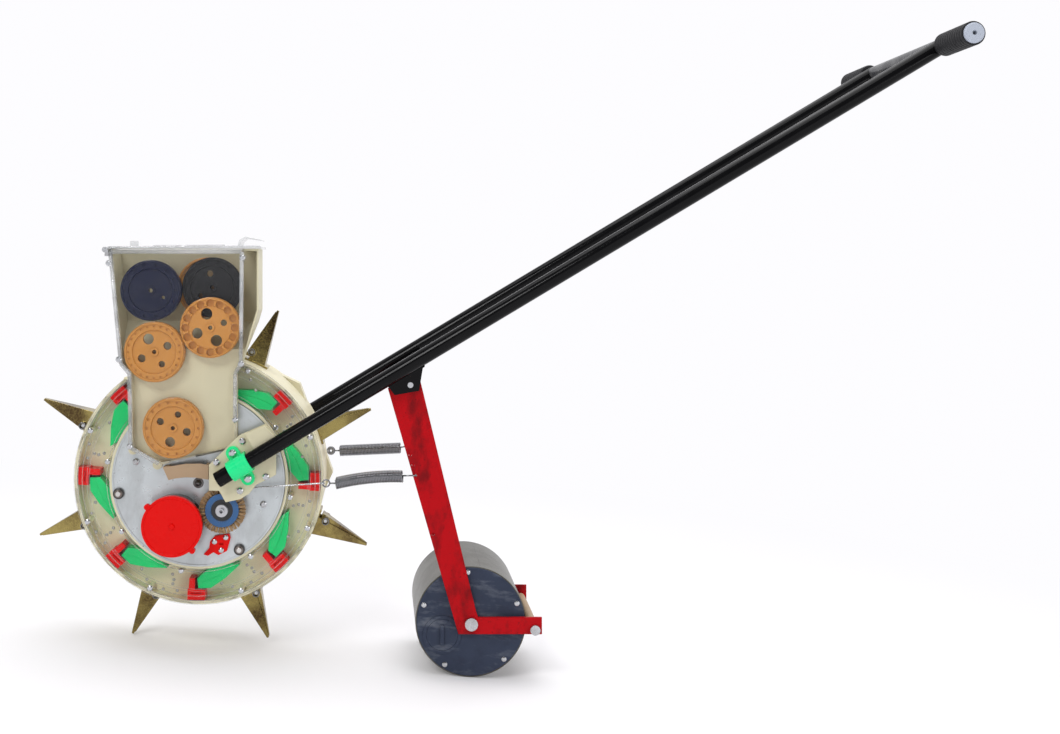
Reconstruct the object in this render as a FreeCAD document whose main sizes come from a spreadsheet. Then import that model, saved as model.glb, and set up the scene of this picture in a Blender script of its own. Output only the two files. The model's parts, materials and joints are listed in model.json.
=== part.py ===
import FreeCAD, Part
import math
import os
import re
import Sketcher
from FreeCAD import Placement, Rotation, Vector

# Hand-pushed corn planter: a drum of eight seed beaks, a hopper, two long handle tubes
# and a trailing press wheel.  Every piece is drawn in the side view of the machine:
# x runs back towards the handles, y runs up and z runs out to the near side.  The drum
# axis is x = y = 0 and the planting plane of the beaks is z = 0.  The stance at the end
# of the size list turns that view upright and stands it on the floor.

SIZES = [
    # drum
    ("drum_r", 177.0), ("drum_wall", 4.0), ("drum_near", 66.0), ("drum_far", 58.0),
    ("track_r", 122.8), ("track_wall", 3.4), ("track_proud", 4.0),
    ("web_near", 43.0), ("web_t", 3.0), ("rim_corner_r", 186.0), ("rim_width", 26.0),
    ("stations", 8), ("marker_angle", -2.0), ("beak_lead", 22.8),
    ("cover_t", 3.0), ("cover_rib", 2.0),
    ("pillar_r", 4.0), ("pillar_outer", 168.5), ("pillar_inner", 131.5), ("pillar_lag", -9.0),
    ("drum_screw_r", 1.9), ("drum_head_r", 3.7), ("drum_head_h", 2.2), ("drum_screw_l", 14.0),
    # ring gear and the two gears that it turns
    ("gear_module", 2.4), ("ring_teeth", 99), ("meter_teeth", 43), ("brush_teeth", 16),
    ("gear_near", -26.0), ("gear_w", 9.0), ("gear_backlash", 0.06),
    # beaks
    ("beak_tip_r", 260.0), ("beak_half", 17.0), ("beak_skin", 1.8), ("beak_gap", 0.5),
    ("beak_tip_half", 4.6), ("beak_hinge_r", 190.0), ("beak_hinge_side", 9.0),
    ("beak_pin_r", 2.5), ("beak_slot", 22.0), ("beak_ear_in", 13.7),
    ("beak_ear_out", 16.4), ("beak_knuckle_half", 11.3), ("beak_knuckle_r", 5.0),
    ("jaw_narrow", 2.3),
    # seed chutes and gates in the drum
    ("chute_h", 21.5), ("gate_h", 22.4), ("chute_wall", 3.0), ("chute_step", 1.6),
    # core that stays still inside the drum
    ("side_plate_r", 122.2), ("side_plate_t", 3.0), ("side_plate_z", 70.0),
    ("plate_lip_w", 2.6), ("plate_lip_h", 0.8),
    ("roller_r", 8.7), ("roller_ring", 114.0), ("roller_w", 6.0), ("roller_bar_r", 2.6),
    ("journal_r", 3.0), ("journal_gap", 0.05), ("roller_gap", 0.3), ("roller_washer_r", 7.8),
    ("roller_nut_r", 4.4),
    ("screw_r", 2.4), ("screw_head_r", 4.6), ("screw_head_h", 3.0),
    ("stud_r", 4.0),
    # metering housing, cap and wheel
    ("meter_angle", 241.5), ("housing_r", 40.0), ("housing_wall", 2.5), ("housing_h", 31.0),
    ("cap_r", 42.3), ("cap_t", 3.0), ("cap_skirt", 5.0), ("cap_gap", 0.3), ("cap_lug", 8.0),
    ("meter_wheel_r", 36.0), ("meter_wheel_w", 15.0), ("shaft_r", 4.0),
    ("seed_pocket_r", 4.2), ("seed_pockets", 12),
    # brush wheel
    ("brush_angle", 16.4), ("brush_r", 33.4), ("brush_core_r", 23.4), ("brush_w", 9.5),
    ("brush_near", 94.0), ("nut_r", 8.5), ("nut_h", 4.0),
    # bracket, tube and clamp
    ("tube_r", 11.0), ("tube_wall", 1.5), ("tube_z", 113.6), ("tube_slope", 30.94),
    ("tube_foot_x", 32.0), ("seat_gap", 0.05), ("tube_drop", -12.5), ("tube_run", 998.0),
    ("bracket_t", 4.0), ("bracket_z", 97.4), ("bracket_boss_r", 4.4),
    ("bracket_left", 19.0), ("bracket_right", 112.0), ("bracket_low", -26.0),
    ("bracket_top", 83.0), ("clamp_l", 30.0), ("clamp_t", 3.2), ("clamp_bolt_half", 20.5),
    ("clamp_lobe", 9.5), ("clamp_x", 62.8), ("bolt_r", 3.0), ("bolt_head_r", 5.2),
    ("bolt_head_h", 4.0),
    # crossbar and grips
    ("crossbar_r", 10.5), ("crossbar_half", 204.0), ("grip_r", 16.0), ("grip_l", 79.0),
    ("plug_r", 13.5), ("plug_t", 3.5), ("plug_bore", 3.0),
    # hopper
    ("hopper_wall", 2.5), ("hopper_front", 97.0), ("hopper_seam", 84.0), ("hopper_back", 25.0),
    ("hopper_top_left", -122.0), ("hopper_top", 326.0), ("hopper_top_right", 66.0),
    ("hopper_flare", 20.0), ("flare_y", 240.0), ("shoulder_y", 164.0),
    ("shoulder_left", -106.0), ("shoulder_right", 64.0), ("neck_left", -94.0),
    ("neck_right", 56.0), ("neck_drop", 12.0), ("neck_foot", 48.0), ("neck_back", 74.0),
    ("foot_x", -50.0), ("foot_y", 24.0), ("slope_low", 184.0), ("slope_high", 222.0),
    ("lid_t", 3.0), ("lid_over", 5.0), ("lid_gap", 0.4), ("hinge_r", 4.5), ("hinge_pin_r", 1.8),
    ("knob_r", 6.0), ("knob_h", 9.0), ("outlet_h", 19.0), ("outlet_top", 26.0),
    ("spare_r", 42.5), ("spare_w", 15.0), ("spare_gap", 0.3), ("spare_hub_r", 6.0),
    ("spare_rim", 6.5), ("spare_hole_ring", 20.0),
    # press-wheel arms
    ("arm_z", 90.0), ("arm_t", 4.0), ("arm_top_x", 289.0), ("arm_top_y", 141.5),
    ("arm_top_w", 43.0), ("arm_low_w", 25.0), ("arm_bar_h", 23.5), ("arm_bar_l", 99.0),
    ("pivot_x", 299.0), ("pivot_y", 136.0), ("pivot_r", 4.0), ("pivot_gap", 0.1),
    ("lug_t", 4.0), ("lug_gap", 0.4), ("spring_hole_r", 2.2),
    # press wheel
    ("press_x", 384.0), ("press_y", -198.0), ("press_r", 77.8), ("press_half", 80.0),
    ("press_skin", 1.5), ("end_cap_t", 6.0), ("axle_r", 6.0), ("axle_gap", 0.1),
    ("axle_nut_r", 9.0), ("axle_nut_h", 6.0), ("hub_r", 16.0),
    ("filler_r", 22.0), ("filler_ring", 27.0), ("filler_out", 44.0), ("filler_angle", 204.0),
    ("filler_t", 3.0), ("press_screw_ring", 70.0),
    ("scraper_r", 4.0), ("scraper_gap", 0.6), ("scraper_t", 3.0),
    # springs
    ("spring_z", 88.0), ("spring_r", 8.0), ("spring_wire", 1.1), ("spring_turns", 26),
    ("spring_near_x", 195.0), ("spring_end_x", 288.0), ("spring_y", 1.0),
    ("link_wire", 1.1), ("spring_eye_r", 5.0), ("link_eye_r", 2.4),
    # stance: the machine stands on its press wheel and on the lowest beak
    ("stance_tilt", 4.4), ("stance_x", -375.74),
]
ALIASES = set(name for name, value in SIZES)

os.makedirs("parts", exist_ok=True)
doc = FreeCAD.newDocument("corn_planter")
sheet = doc.addObject("Spreadsheet::Sheet", "Sizes")
for row, (alias, value) in enumerate(SIZES, start=1):
    sheet.set("A%d" % row, alias)
    sheet.set("B%d" % row, str(value))
    sheet.setAlias("B%d" % row, alias)
doc.recompute()

pieces = {}


# ---------------------------------------------------------------- sizes and places
def bound(text):
    """A size formula with the sheet's name before every alias."""
    def prefix(match):
        word = match.group()
        return "Sizes." + word if word in ALIASES else word
    return re.sub(r"[a-z_][a-z_0-9]*", prefix, str(text))


def size(text):
    """The number that a size formula stands for."""
    value = sheet.evalExpression(bound(text))
    return value.Value if hasattr(value, "Value") else float(value)


def bind(thing, prop, text):
    thing.setExpression(prop, bound(text))


def flip(side, text):
    """The same distance on the near side (1) or on the far side (-1)."""
    return str(text) if side > 0 else "-(%s)" % text


tilt = math.radians(size("stance_tilt"))
floor_drop = (size("press_x") * math.sin(tilt) + size("press_y") * math.cos(tilt)
              - size("press_r"))
stance = Placement(Vector(size("stance_x"), 0, -floor_drop), Rotation(Vector(1, 0, 0), 90))
stance = stance.multiply(Placement(Vector(), Rotation(Vector(0, 0, 1), size("stance_tilt"))))


def spot(x="0", y="0", z="0", angle="0"):
    """A place in the side view, turned about z by an angle in degrees."""
    turn = Rotation(Vector(0, 0, 1), size(angle))
    return Placement(Vector(size(x), size(y), size(z)), turn)


def keep(name, thing, place=None):
    """Name a finished piece and stand it in the machine."""
    thing.Label = name
    thing.Placement = stance.multiply(place or Placement())
    pieces[name] = thing
    return thing


# ---------------------------------------------------------------- bodies
def new_body(name):
    return doc.addObject("PartDesign::Body", name)


def origin_part(body, role):
    return next(item for item in body.Origin.OriginFeatures if item.Role == role)


def new_sketch(body, offset="0", plane="XY_Plane"):
    sketch = body.newObject("Sketcher::SketchObject", body.Name + "_sketch")
    sketch.AttachmentSupport = [(origin_part(body, plane), "")]
    sketch.MapMode = "FlatFace"
    bind(sketch, "AttachmentOffset.Base.z", offset)
    return sketch


def pin_point(sketch, geometry, position, x, y):
    """Hold one sketch point at a named place."""
    for kind, text in (("DistanceX", x), ("DistanceY", y)):
        rule = Sketcher.Constraint(kind, -1, 1, geometry, position, size(text))
        index = sketch.addConstraint(rule)
        sketch.setExpression("Constraints[%d]" % index, bound(text))


def circle(sketch, x, y, radius):
    centre = Vector(size(x), size(y), 0)
    index = sketch.addGeometry(Part.Circle(centre, Vector(0, 0, 1), size(radius)))
    pin_point(sketch, index, 3, x, y)
    rule = sketch.addConstraint(Sketcher.Constraint("Radius", index, size(radius)))
    sketch.setExpression("Constraints[%d]" % rule, bound(radius))


def outline(sketch, points):
    """A closed outline of straight sides through named points."""
    corners = [Vector(size(x), size(y), 0) for x, y in points]
    first = sketch.GeometryCount
    for index, corner in enumerate(corners):
        following = corners[(index + 1) % len(corners)]
        sketch.addGeometry(Part.LineSegment(corner, following))
    for index, (x, y) in enumerate(points):
        following = first + (index + 1) % len(points)
        sketch.addConstraint(Sketcher.Constraint("Coincident", first + index, 2, following, 1))
        pin_point(sketch, first + index, 1, x, y)


def rectangle(sketch, left, low, right, top):
    outline(sketch, [(left, low), (right, low), (right, top), (left, top)])


def grow(body, kind, sketch, length, side=1):
    """Pad or pocket a sketch by a length; side -1 goes the other way."""
    feature = body.newObject("PartDesign::" + kind, body.Name + "_" + kind.lower())
    feature.Profile = sketch
    feature.Reversed = side < 0
    bind(feature, "Length", length)
    body.Tip = feature
    return feature


def turned(name, profile):
    """A body turned about its own z axis; the profile is (radius, z) points."""
    body = new_body(name)
    sketch = new_sketch(body, "0", "XZ_Plane")
    outline(sketch, profile)
    feature = body.newObject("PartDesign::Revolution", name + "_turn")
    feature.Profile = sketch
    feature.ReferenceAxis = (origin_part(body, "Z_Axis"), [""])
    feature.Angle = 360
    body.Tip = feature
    return body


def ring_pattern(body, features, count):
    pattern = body.newObject("PartDesign::PolarPattern", body.Name + "_ring")
    pattern.Originals = features
    pattern.Axis = (origin_part(body, "Z_Axis"), [""])
    pattern.Angle = 360
    bind(pattern, "Occurrences", count)
    body.Tip = pattern
    return pattern


def holes(body, places, radius, top, depth, side=1):
    """Round holes at named places, cut down from the level of top."""
    sketch = new_sketch(body, top)
    for x, y in places:
        circle(sketch, x, y, radius)
    return grow(body, "Pocket", sketch, depth, side)


# ---------------------------------------------------------------- primitives and joins
def solid_cylinder(name, radius, height, place=None):
    thing = doc.addObject("Part::Cylinder", name)
    bind(thing, "Radius", radius)
    bind(thing, "Height", height)
    thing.Placement = place or Placement()
    return thing


def solid_box(name, length, width, height, place=None):
    thing = doc.addObject("Part::Box", name)
    bind(thing, "Length", length)
    bind(thing, "Width", width)
    bind(thing, "Height", height)
    thing.Placement = place or Placement()
    return thing


def solid_wedge(name, ends, place=None):
    """A four-sided taper along its own y; ends are (y, low x, high x, half z)."""
    thing = doc.addObject("Part::Wedge", name)
    (y1, low1, high1, half1), (y2, low2, high2, half2) = ends
    fields = {"Ymin": y1, "Xmin": low1, "Xmax": high1, "Zmin": "-(%s)" % half1,
              "Zmax": half1, "Ymax": y2, "X2min": low2, "X2max": high2,
              "Z2min": "-(%s)" % half2, "Z2max": half2}
    for prop, text in fields.items():
        setattr(thing, prop, size(text))
    for prop, text in fields.items():
        bind(thing, prop, text)
    thing.Placement = place or Placement()
    return thing


def cut(name, base, tool):
    thing = doc.addObject("Part::Cut", name)
    thing.Base = base
    thing.Tool = tool
    return thing


def fuse(name, shapes):
    thing = doc.addObject("Part::MultiFuse", name)
    thing.Shapes = shapes
    thing.Refine = True
    return thing


def extrusion(name, profile, start, length):
    """A sketch or offset wire drawn at z = 0, raised from start by length."""
    thing = doc.addObject("Part::Extrusion", name)
    thing.Base = profile
    thing.DirMode = "Custom"
    thing.Dir = Vector(0, 0, 1)
    thing.Solid = True
    bind(thing, "LengthFwd", length)
    thing.Placement = spot(z=start)
    return thing


def feature(name, shape):
    thing = doc.addObject("Part::Feature", name)
    thing.Shape = shape
    return thing


def copies(name, source, places):
    """Separate equal solids made from one drawn piece."""
    doc.recompute()
    solids = []
    for place in places:
        solid = source.Shape.copy()
        solid.Placement = place.multiply(solid.Placement)
        solids.append(solid)
    return feature(name, Part.makeCompound(solids))


def polar_spot(radius, angle, z="0", turn="0"):
    """A place on a circle about the drum axis."""
    a = math.radians(size(angle))
    centre = Vector(size(radius) * math.cos(a), size(radius) * math.sin(a), size(z))
    return Placement(centre, Rotation(Vector(0, 0, 1), size(turn)))


def polar_text(radius, angle):
    return ("(%s) * cos(%s)" % (radius, angle), "(%s) * sin(%s)" % (radius, angle))


def bolt_shape(name, shank_r, shank_l, head_r, head_h):
    """A round-headed screw: the head sits on z = 0 and the shank goes down."""
    return turned(name, [("0", "-(%s)" % shank_l), (shank_r, "-(%s)" % shank_l),
                         (shank_r, "0"), (head_r, "0"), (head_r, "(%s) * 0.6" % head_h),
                         ("(%s) * 0.6" % head_r, head_h), ("0", head_h)])


# ---------------------------------------------------------------- drum
station_angles = ["marker_angle + %d * 360 / stations" % k for k in range(int(size("stations")))]

shell = turned("drum_shell", [
    ("track_r", "-drum_far"), ("drum_r", "-drum_far"), ("drum_r", "drum_near"),
    ("drum_r - drum_wall", "drum_near"), ("drum_r - drum_wall", "web_near"),
    ("track_r + track_wall", "web_near"),
    ("track_r + track_wall", "drum_near + track_proud"), ("track_r", "drum_near + track_proud"),
])
hollow = new_sketch(shell, "web_near - web_t")
circle(hollow, "0", "0", "drum_r - drum_wall")
circle(hollow, "0", "0", "track_r + track_wall")
grow(shell, "Pocket", hollow, "web_near - web_t + drum_far - drum_wall")
corner_rim = new_sketch(shell, "-drum_far")
outline(corner_rim, [polar_text("rim_corner_r", "marker_angle + %d * 45" % k) for k in range(8)])
circle(corner_rim, "0", "0", "drum_r - 2 * drum_wall")
grow(shell, "Pad", corner_rim, "rim_width")
pillars = new_sketch(shell, "web_near - web_t / 2")
for ring, angle in (("pillar_outer", "marker_angle + beak_lead"),
                    ("pillar_inner", "marker_angle + pillar_lag")):
    circle(pillars, *polar_text(ring, angle), "pillar_r")
raised = grow(shell, "Pad", pillars, "drum_near - web_near + web_t / 2")
ring_pattern(shell, [raised], "stations")
bores = new_sketch(shell, "drum_near")
for ring, angle in (("pillar_outer", "marker_angle + beak_lead"),
                    ("pillar_inner", "marker_angle + pillar_lag")):
    circle(bores, *polar_text(ring, angle), "drum_screw_r")
bored = grow(shell, "Pocket", bores, "drum_screw_l")
ring_pattern(shell, [bored], "stations")


def drum_window(name, inner_r, outer_r, angle, half, near, far):
    """A box that opens the drum wall on the ray of one station."""
    boxes = []
    for station in station_angles:
        place = spot(z=far, angle="%s + %s" % (station, angle))
        box = solid_box(name, "(%s) - (%s)" % (outer_r, inner_r), "2 * (%s)" % half,
                        "(%s) - (%s)" % (near, far))
        box.Placement = place.multiply(spot(inner_r, "-(%s)" % half))
        boxes.append(box)
    return fuse(name + "s", boxes)


beak_windows = drum_window("beak_window", "drum_r - 2 * drum_wall", "drum_r + drum_wall",
                           "beak_lead", "beak_slot / 2", "beak_slot / 2", "-beak_slot / 2")
seed_windows = drum_window("seed_window", "track_r - 2", "track_r + track_wall + 2",
                           "beak_lead - 1", "7", "drum_near - 6", "web_near")


def gear_outline(teeth, module, inside, phase):
    """Corner points of a gear with straight tooth flanks."""
    pitch_r = teeth * module / 2
    sign = -1 if inside else 1
    root = pitch_r - sign * 1.2 * module
    tip = pitch_r + sign * 0.8 * module
    narrow = 0.16 - size("gear_backlash") / 2
    wide = 0.34 - size("gear_backlash") / 2
    points = []
    for index in range(int(teeth)):
        for radius, share in ((root, -wide), (tip, -narrow), (tip, narrow), (root, wide)):
            angle = math.radians(phase + (index + share) * 360 / teeth)
            points.append(Vector(radius * math.cos(angle), radius * math.sin(angle), 0))
    return points + points[:1]


def gear_prism(teeth, module, inside, phase):
    face = Part.Face(Part.makePolygon(gear_outline(teeth, module, inside, phase)))
    return face.extrude(Vector(0, 0, size("gear_w")))


module = size("gear_module")
ring_teeth = size("ring_teeth")
meter_teeth = size("meter_teeth")
brush_teeth = size("brush_teeth")
METER_X, METER_Y = polar_text("gear_module * (ring_teeth - meter_teeth) / 2", "meter_angle")
BRUSH_STEP = "gear_module * (meter_teeth + brush_teeth) / 2"
BRUSH_X = "%s + %s * cos(brush_angle)" % (METER_X, BRUSH_STEP)
BRUSH_Y = "%s + %s * sin(brush_angle)" % (METER_Y, BRUSH_STEP)

ring_phase = size("meter_angle") + 180 / ring_teeth
rim_ring = Part.makeCylinder(size("track_r + 1"), size("gear_w"))
ring_teeth_shape = rim_ring.cut(gear_prism(ring_teeth, module, True, ring_phase))
ring_teeth_shape.Placement = spot(z="gear_near - gear_w")
ring_gear = feature("ring_gear_teeth", ring_teeth_shape)
drum = cut("drum_open", cut("drum_cut", shell, beak_windows), seed_windows)
keep("drum_shell", fuse("drum_shell_toothed", [drum, ring_gear]))

cover = turned("drum_cover", [
    ("track_r + track_wall + 0.3", "0"), ("drum_r", "0"), ("drum_r", "cover_t + cover_rib"),
    ("drum_r - 3", "cover_t + cover_rib"), ("drum_r - 3", "cover_t"),
    ("drum_r - 19", "cover_t"), ("drum_r - 19", "cover_t + cover_rib"),
    ("drum_r - 22", "cover_t + cover_rib"), ("drum_r - 22", "cover_t"),
    ("track_r + track_wall + 0.3", "cover_t"),
])
cover_holes = new_sketch(cover, "cover_t")
for ring, angle in (("pillar_outer", "marker_angle + beak_lead"),
                    ("pillar_inner", "marker_angle + pillar_lag")):
    circle(cover_holes, *polar_text(ring, angle), "drum_screw_r + 0.1")
ring_pattern(cover, [grow(cover, "Pocket", cover_holes, "cover_t")], "stations")
keep("drum_cover", cover, spot(z="drum_near"))

drum_screw = bolt_shape("drum_screw_pattern", "drum_screw_r", "drum_screw_l - 1",
                        "drum_head_r", "drum_head_h")
screw_places = []
for station in station_angles:
    screw_places.append(polar_spot("pillar_outer", station + " + beak_lead",
                                   "drum_near + cover_t"))
    screw_places.append(polar_spot("pillar_inner", station + " + pillar_lag",
                                   "drum_near + cover_t"))
keep("drum_screws", copies("drum_screws", drum_screw, screw_places))


def polar_outline(sketch, points):
    outline(sketch, [polar_text(radius, angle) for radius, angle in points])


chute = new_body("chute_pattern")
chute_side = new_sketch(chute)
polar_outline(chute_side, [("155.5", "1.4"), ("141", "0.9"), ("track_r + track_wall + 2", "8"),
                           ("track_r + track_wall + 2", "23"), ("135", "27"), ("146", "16.5"),
                           ("156", "8")])
grow(chute, "Pad", chute_side, "chute_h")
chute_inside = new_sketch(chute, "chute_h - chute_wall")
polar_outline(chute_inside, [("153", "2.4"), ("142.5", "2"), ("track_r + track_wall + 4.5", "9.2"),
                             ("track_r + track_wall + 4.5", "22"), ("134", "24.6"),
                             ("143.5", "15.8"), ("153.5", "7.8")])
grow(chute, "Pocket", chute_inside, "chute_h")
chute_mouth = new_sketch(chute, "chute_h - chute_wall - 2")
polar_outline(chute_mouth, [("119", "12"), ("132", "12"), ("132", "20"), ("119", "20")])
grow(chute, "Pocket", chute_mouth, "chute_h")
chute_fold = new_sketch(chute, "chute_h")
polar_outline(chute_fold, [("159", "-1"), ("148.5", "-1"), ("146", "4"), ("140.5", "12"), ("134", "21"),
                           ("130", "30"), ("138", "34"), ("150", "24"), ("160", "12")])
grow(chute, "Pocket", chute_fold, "chute_step")
station_spots = [spot(z="web_near", angle=station) for station in station_angles]
keep("seed_chutes", copies("seed_chutes", chute, station_spots))

gate = new_body("gate_pattern")
gate_side = new_sketch(gate)
outline(gate_side, [("141", "-9"), ("157", "-9.6"), ("157", "-11"),
                    ("drum_r - drum_wall - 1.2", "-11"), ("drum_r - drum_wall - 1.6", "14"),
                    ("157", "14"), ("157", "-0.8"), ("141", "-0.8")])
grow(gate, "Pad", gate_side, "gate_h")
gate_slot = new_sketch(gate, "gate_h")
rectangle(gate_slot, "161", "-6", "163", "9")
grow(gate, "Pocket", gate_slot, "3")
keep("station_gates", copies("station_gates", gate, station_spots))

# ---------------------------------------------------------------- beaks
quarter_back = Placement(Vector(), Rotation(Vector(0, 0, 1), -90))
tip_r = "beak_tip_r"
seat_r = "drum_r - drum_wall / 2"
fixed_outer = solid_wedge("beak_outer", [
    (seat_r, "-beak_half * 0.6", "beak_half", "beak_half"),
    (tip_r, "-1.2", "1.8", "beak_tip_half")], quarter_back)
fixed_inner = solid_wedge("beak_inner", [
    ("drum_r - 2 * drum_wall", "-beak_half * 2", "beak_half - beak_skin", "beak_half - beak_skin"),
    (tip_r + " + 3", "-9", "0", "beak_tip_half - beak_skin")], quarter_back)
flange = solid_box("beak_flange", "drum_wall", "2.5 * beak_half", "2.2 * beak_half",
                   spot("drum_r - drum_wall / 2", "-1.25 * beak_half", "-1.1 * beak_half"))
flange_hole = solid_box("beak_flange_hole", "4 * drum_wall", "beak_slot", "beak_slot",
                        spot("drum_r - 2 * drum_wall", "-beak_slot / 2", "-beak_slot / 2"))
ear = solid_cylinder("beak_ear", "beak_pin_r + 4", "2 * beak_ear_out",
                     spot("beak_hinge_r", "beak_hinge_side", "-beak_ear_out"))
ear_cut = solid_box("beak_ear_cut", "60", "60", "2 * beak_ear_in",
                    spot("beak_hinge_r - 30", "beak_hinge_side - 30", "-beak_ear_in"))
seat = solid_cylinder("beak_seat", "drum_r", "4 * beak_half", spot(z="-2 * beak_half"))
pin_hole = solid_cylinder("beak_pin_hole", "beak_pin_r", "3 * beak_half",
                          spot("beak_hinge_r", "beak_hinge_side", "-1.5 * beak_half"))
horn = cut("beak_horn", fixed_outer, fixed_inner)
plate = cut("beak_plate", flange, flange_hole)
ears = cut("beak_ears", ear, ear_cut)
fixed_beak = fuse("beak_blank", [horn, plate, ears])
fixed_beak = cut("beak_on_drum", fixed_beak, seat)
fixed_beak = cut("fixed_beak_pattern", fixed_beak, pin_hole)
beak_spots = [spot(angle=station + " + beak_lead") for station in station_angles]
keep("fixed_beaks", copies("fixed_beaks", fixed_beak, beak_spots))

moving_outer = solid_wedge("jaw_outer", [
    ("drum_r + drum_wall + 1.5", "-beak_half", "beak_half * 0.5", "beak_half - beak_skin - beak_gap - jaw_narrow"),
    (tip_r + " - 3", "-2.6", "-0.4", "beak_tip_half - beak_skin - beak_gap")], quarter_back)
moving_inner = solid_wedge("jaw_inner", [
    ("drum_r + drum_wall - 1", "-beak_half + beak_skin", "beak_half * 2",
     "beak_half - 2 * beak_skin - beak_gap - jaw_narrow + 0.2"),
    (tip_r + " - 1", "-1.2", "9", "0.9")], quarter_back)
knuckle = solid_cylinder("jaw_knuckle", "beak_knuckle_r", "2 * beak_knuckle_half",
                         spot("beak_hinge_r", "beak_hinge_side", "-beak_knuckle_half"))
jaw_bore = solid_cylinder("jaw_bore", "beak_pin_r + 0.08", "3 * beak_half",
                          spot("beak_hinge_r", "beak_hinge_side", "-1.5 * beak_half"))
jaw = fuse("jaw_blank", [cut("jaw_horn", moving_outer, moving_inner), knuckle])
jaw = cut("jaw_pattern", jaw, jaw_bore)
doc.recompute()
for number, place in enumerate(beak_spots, start=1):
    name = "moving_beak_%d" % number
    keep(name, copies(name, jaw, [place]))

pin = solid_cylinder("beak_pin_pattern", "beak_pin_r", "2 * beak_ear_out + 1",
                     spot("beak_hinge_r", "beak_hinge_side", "-beak_ear_out - 0.5"))
keep("beak_pins", copies("beak_pins", pin, beak_spots))

# ---------------------------------------------------------------- still core
ROLLER_ANGLES = ("189.5", "300.7", "67")
STUDS = (("-88", "26"), ("92", "-34"), ("84", "58"))
BOSSES = (("65.5", "59"), ("29.5", "29.5"), ("98", "9.5"), ("62", "-10"))
GUARD_SCREWS = (("39.4", "-80"), ("23.5", "-86"), ("33", "-98"))
roller_ring = "track_r - roller_r - roller_gap"
roller_places = [polar_text(roller_ring, angle) for angle in ROLLER_ANGLES]
shaft_places = [(METER_X, METER_Y), (BRUSH_X, BRUSH_Y)]


OUTLET = (("-47", "21"), ("-39", "3"), ("-29", "5.5"), ("-15", "7"), ("0", "6.4"), ("17", "3.6"),
          ("17", "24"), ("6", "outlet_top"), ("-14", "outlet_top"), ("-32", "outlet_top - 3"))


def side_plate(name, side):
    """A round plate that closes one side of the still core."""
    top = "side_plate_t + plate_lip_h"
    body = turned(name, [
        ("0", "0"), ("side_plate_r", "0"), ("side_plate_r", flip(side, top)),
        ("side_plate_r - plate_lip_w", flip(side, top)),
        ("side_plate_r - plate_lip_w", flip(side, "side_plate_t")),
        ("0", flip(side, "side_plate_t"))])
    start = flip(side, top)
    holes(body, roller_places, "journal_r + journal_gap", start, top, side)
    holes(body, STUDS, "screw_r", start, top, side)
    holes(body, BOSSES, "screw_r", start, top, side)
    if side > 0:
        holes(body, shaft_places, "shaft_r + journal_gap", start, top, side)
        holes(body, GUARD_SCREWS, "screw_r", start, top, side)
        seed_slot = new_sketch(body, start)
        rectangle(seed_slot, "-28", "12", "8", "19")
        grow(body, "Pocket", seed_slot, top, side)
    return body


keep("near_side_plate", side_plate("near_side_plate", 1), spot(z="side_plate_z"))
far_plate_z = "-(drum_far - 2)"
keep("far_side_plate", side_plate("far_side_plate", -1), spot(z=far_plate_z))

span = "side_plate_z - (%s)" % far_plate_z
stud = turned("stud_pattern", [("0", "0.0"), ("stud_r", "0.0"), ("stud_r", span), ("0", span)])
for end, side in ((span, 1), ("0", -1)):
    sketch = new_sketch(stud, "%s - %s" % (end, flip(side, "6")))
    circle(sketch, "0", "0", "screw_r")
    grow(stud, "Pocket", sketch, "8", -side)
stud_places = [spot(x, y, far_plate_z) for x, y in STUDS]
core_spacers = copies("core_spacers", stud, stud_places)

near_out = span + " + side_plate_t + plate_lip_h + 0.4"
for number, (x, y) in enumerate(roller_places, start=1):
    name = "guide_roller_%d" % number
    if number < 3:
        tip = [("journal_r", near_out), ("roller_washer_r", near_out),
               ("roller_washer_r", near_out + " + 2.4"), ("roller_washer_r - 1.6", near_out + " + 3.2"),
               ("roller_nut_r", near_out + " + 3.2"), ("roller_nut_r", near_out + " + 5.4"),
               ("roller_nut_r - 1.2", near_out + " + 6.2"), ("0", near_out + " + 6.2")]
    else:
        roller_top = span + " + side_plate_t - 0.3"
        tip = [("journal_r", roller_top), ("0", roller_top)]
    spool = turned(name, [
        ("0", "-side_plate_t + 0.3"), ("journal_r", "-side_plate_t + 0.3"), ("journal_r", "0.3"),
        ("roller_r", "0.3"), ("roller_r", "roller_w"), ("roller_bar_r", "roller_w"),
        ("roller_bar_r", span + " - roller_w"), ("roller_r", span + " - roller_w"),
        ("roller_r", span + " - 0.3"), ("journal_r", span + " - 0.3")] + tip)
    keep(name, spool, spot(x, y, far_plate_z))

# ---------------------------------------------------------------- metering housing and wheel
plate_face = "side_plate_z + side_plate_t"
housing = turned("metering_housing", [
    ("housing_r - housing_wall", "0"), ("housing_r", "0"), ("housing_r", "housing_h"),
    ("housing_r - housing_wall", "housing_h")])
brush_mouth = new_sketch(housing, "housing_h - 2")
turn_x, turn_y = polar_text("housing_r", "brush_angle")
circle(brush_mouth, turn_x, turn_y, "19")
grow(housing, "Pocket", brush_mouth, "housing_h - 6")
keep("metering_housing", housing, spot(METER_X, METER_Y, plate_face))

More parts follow.
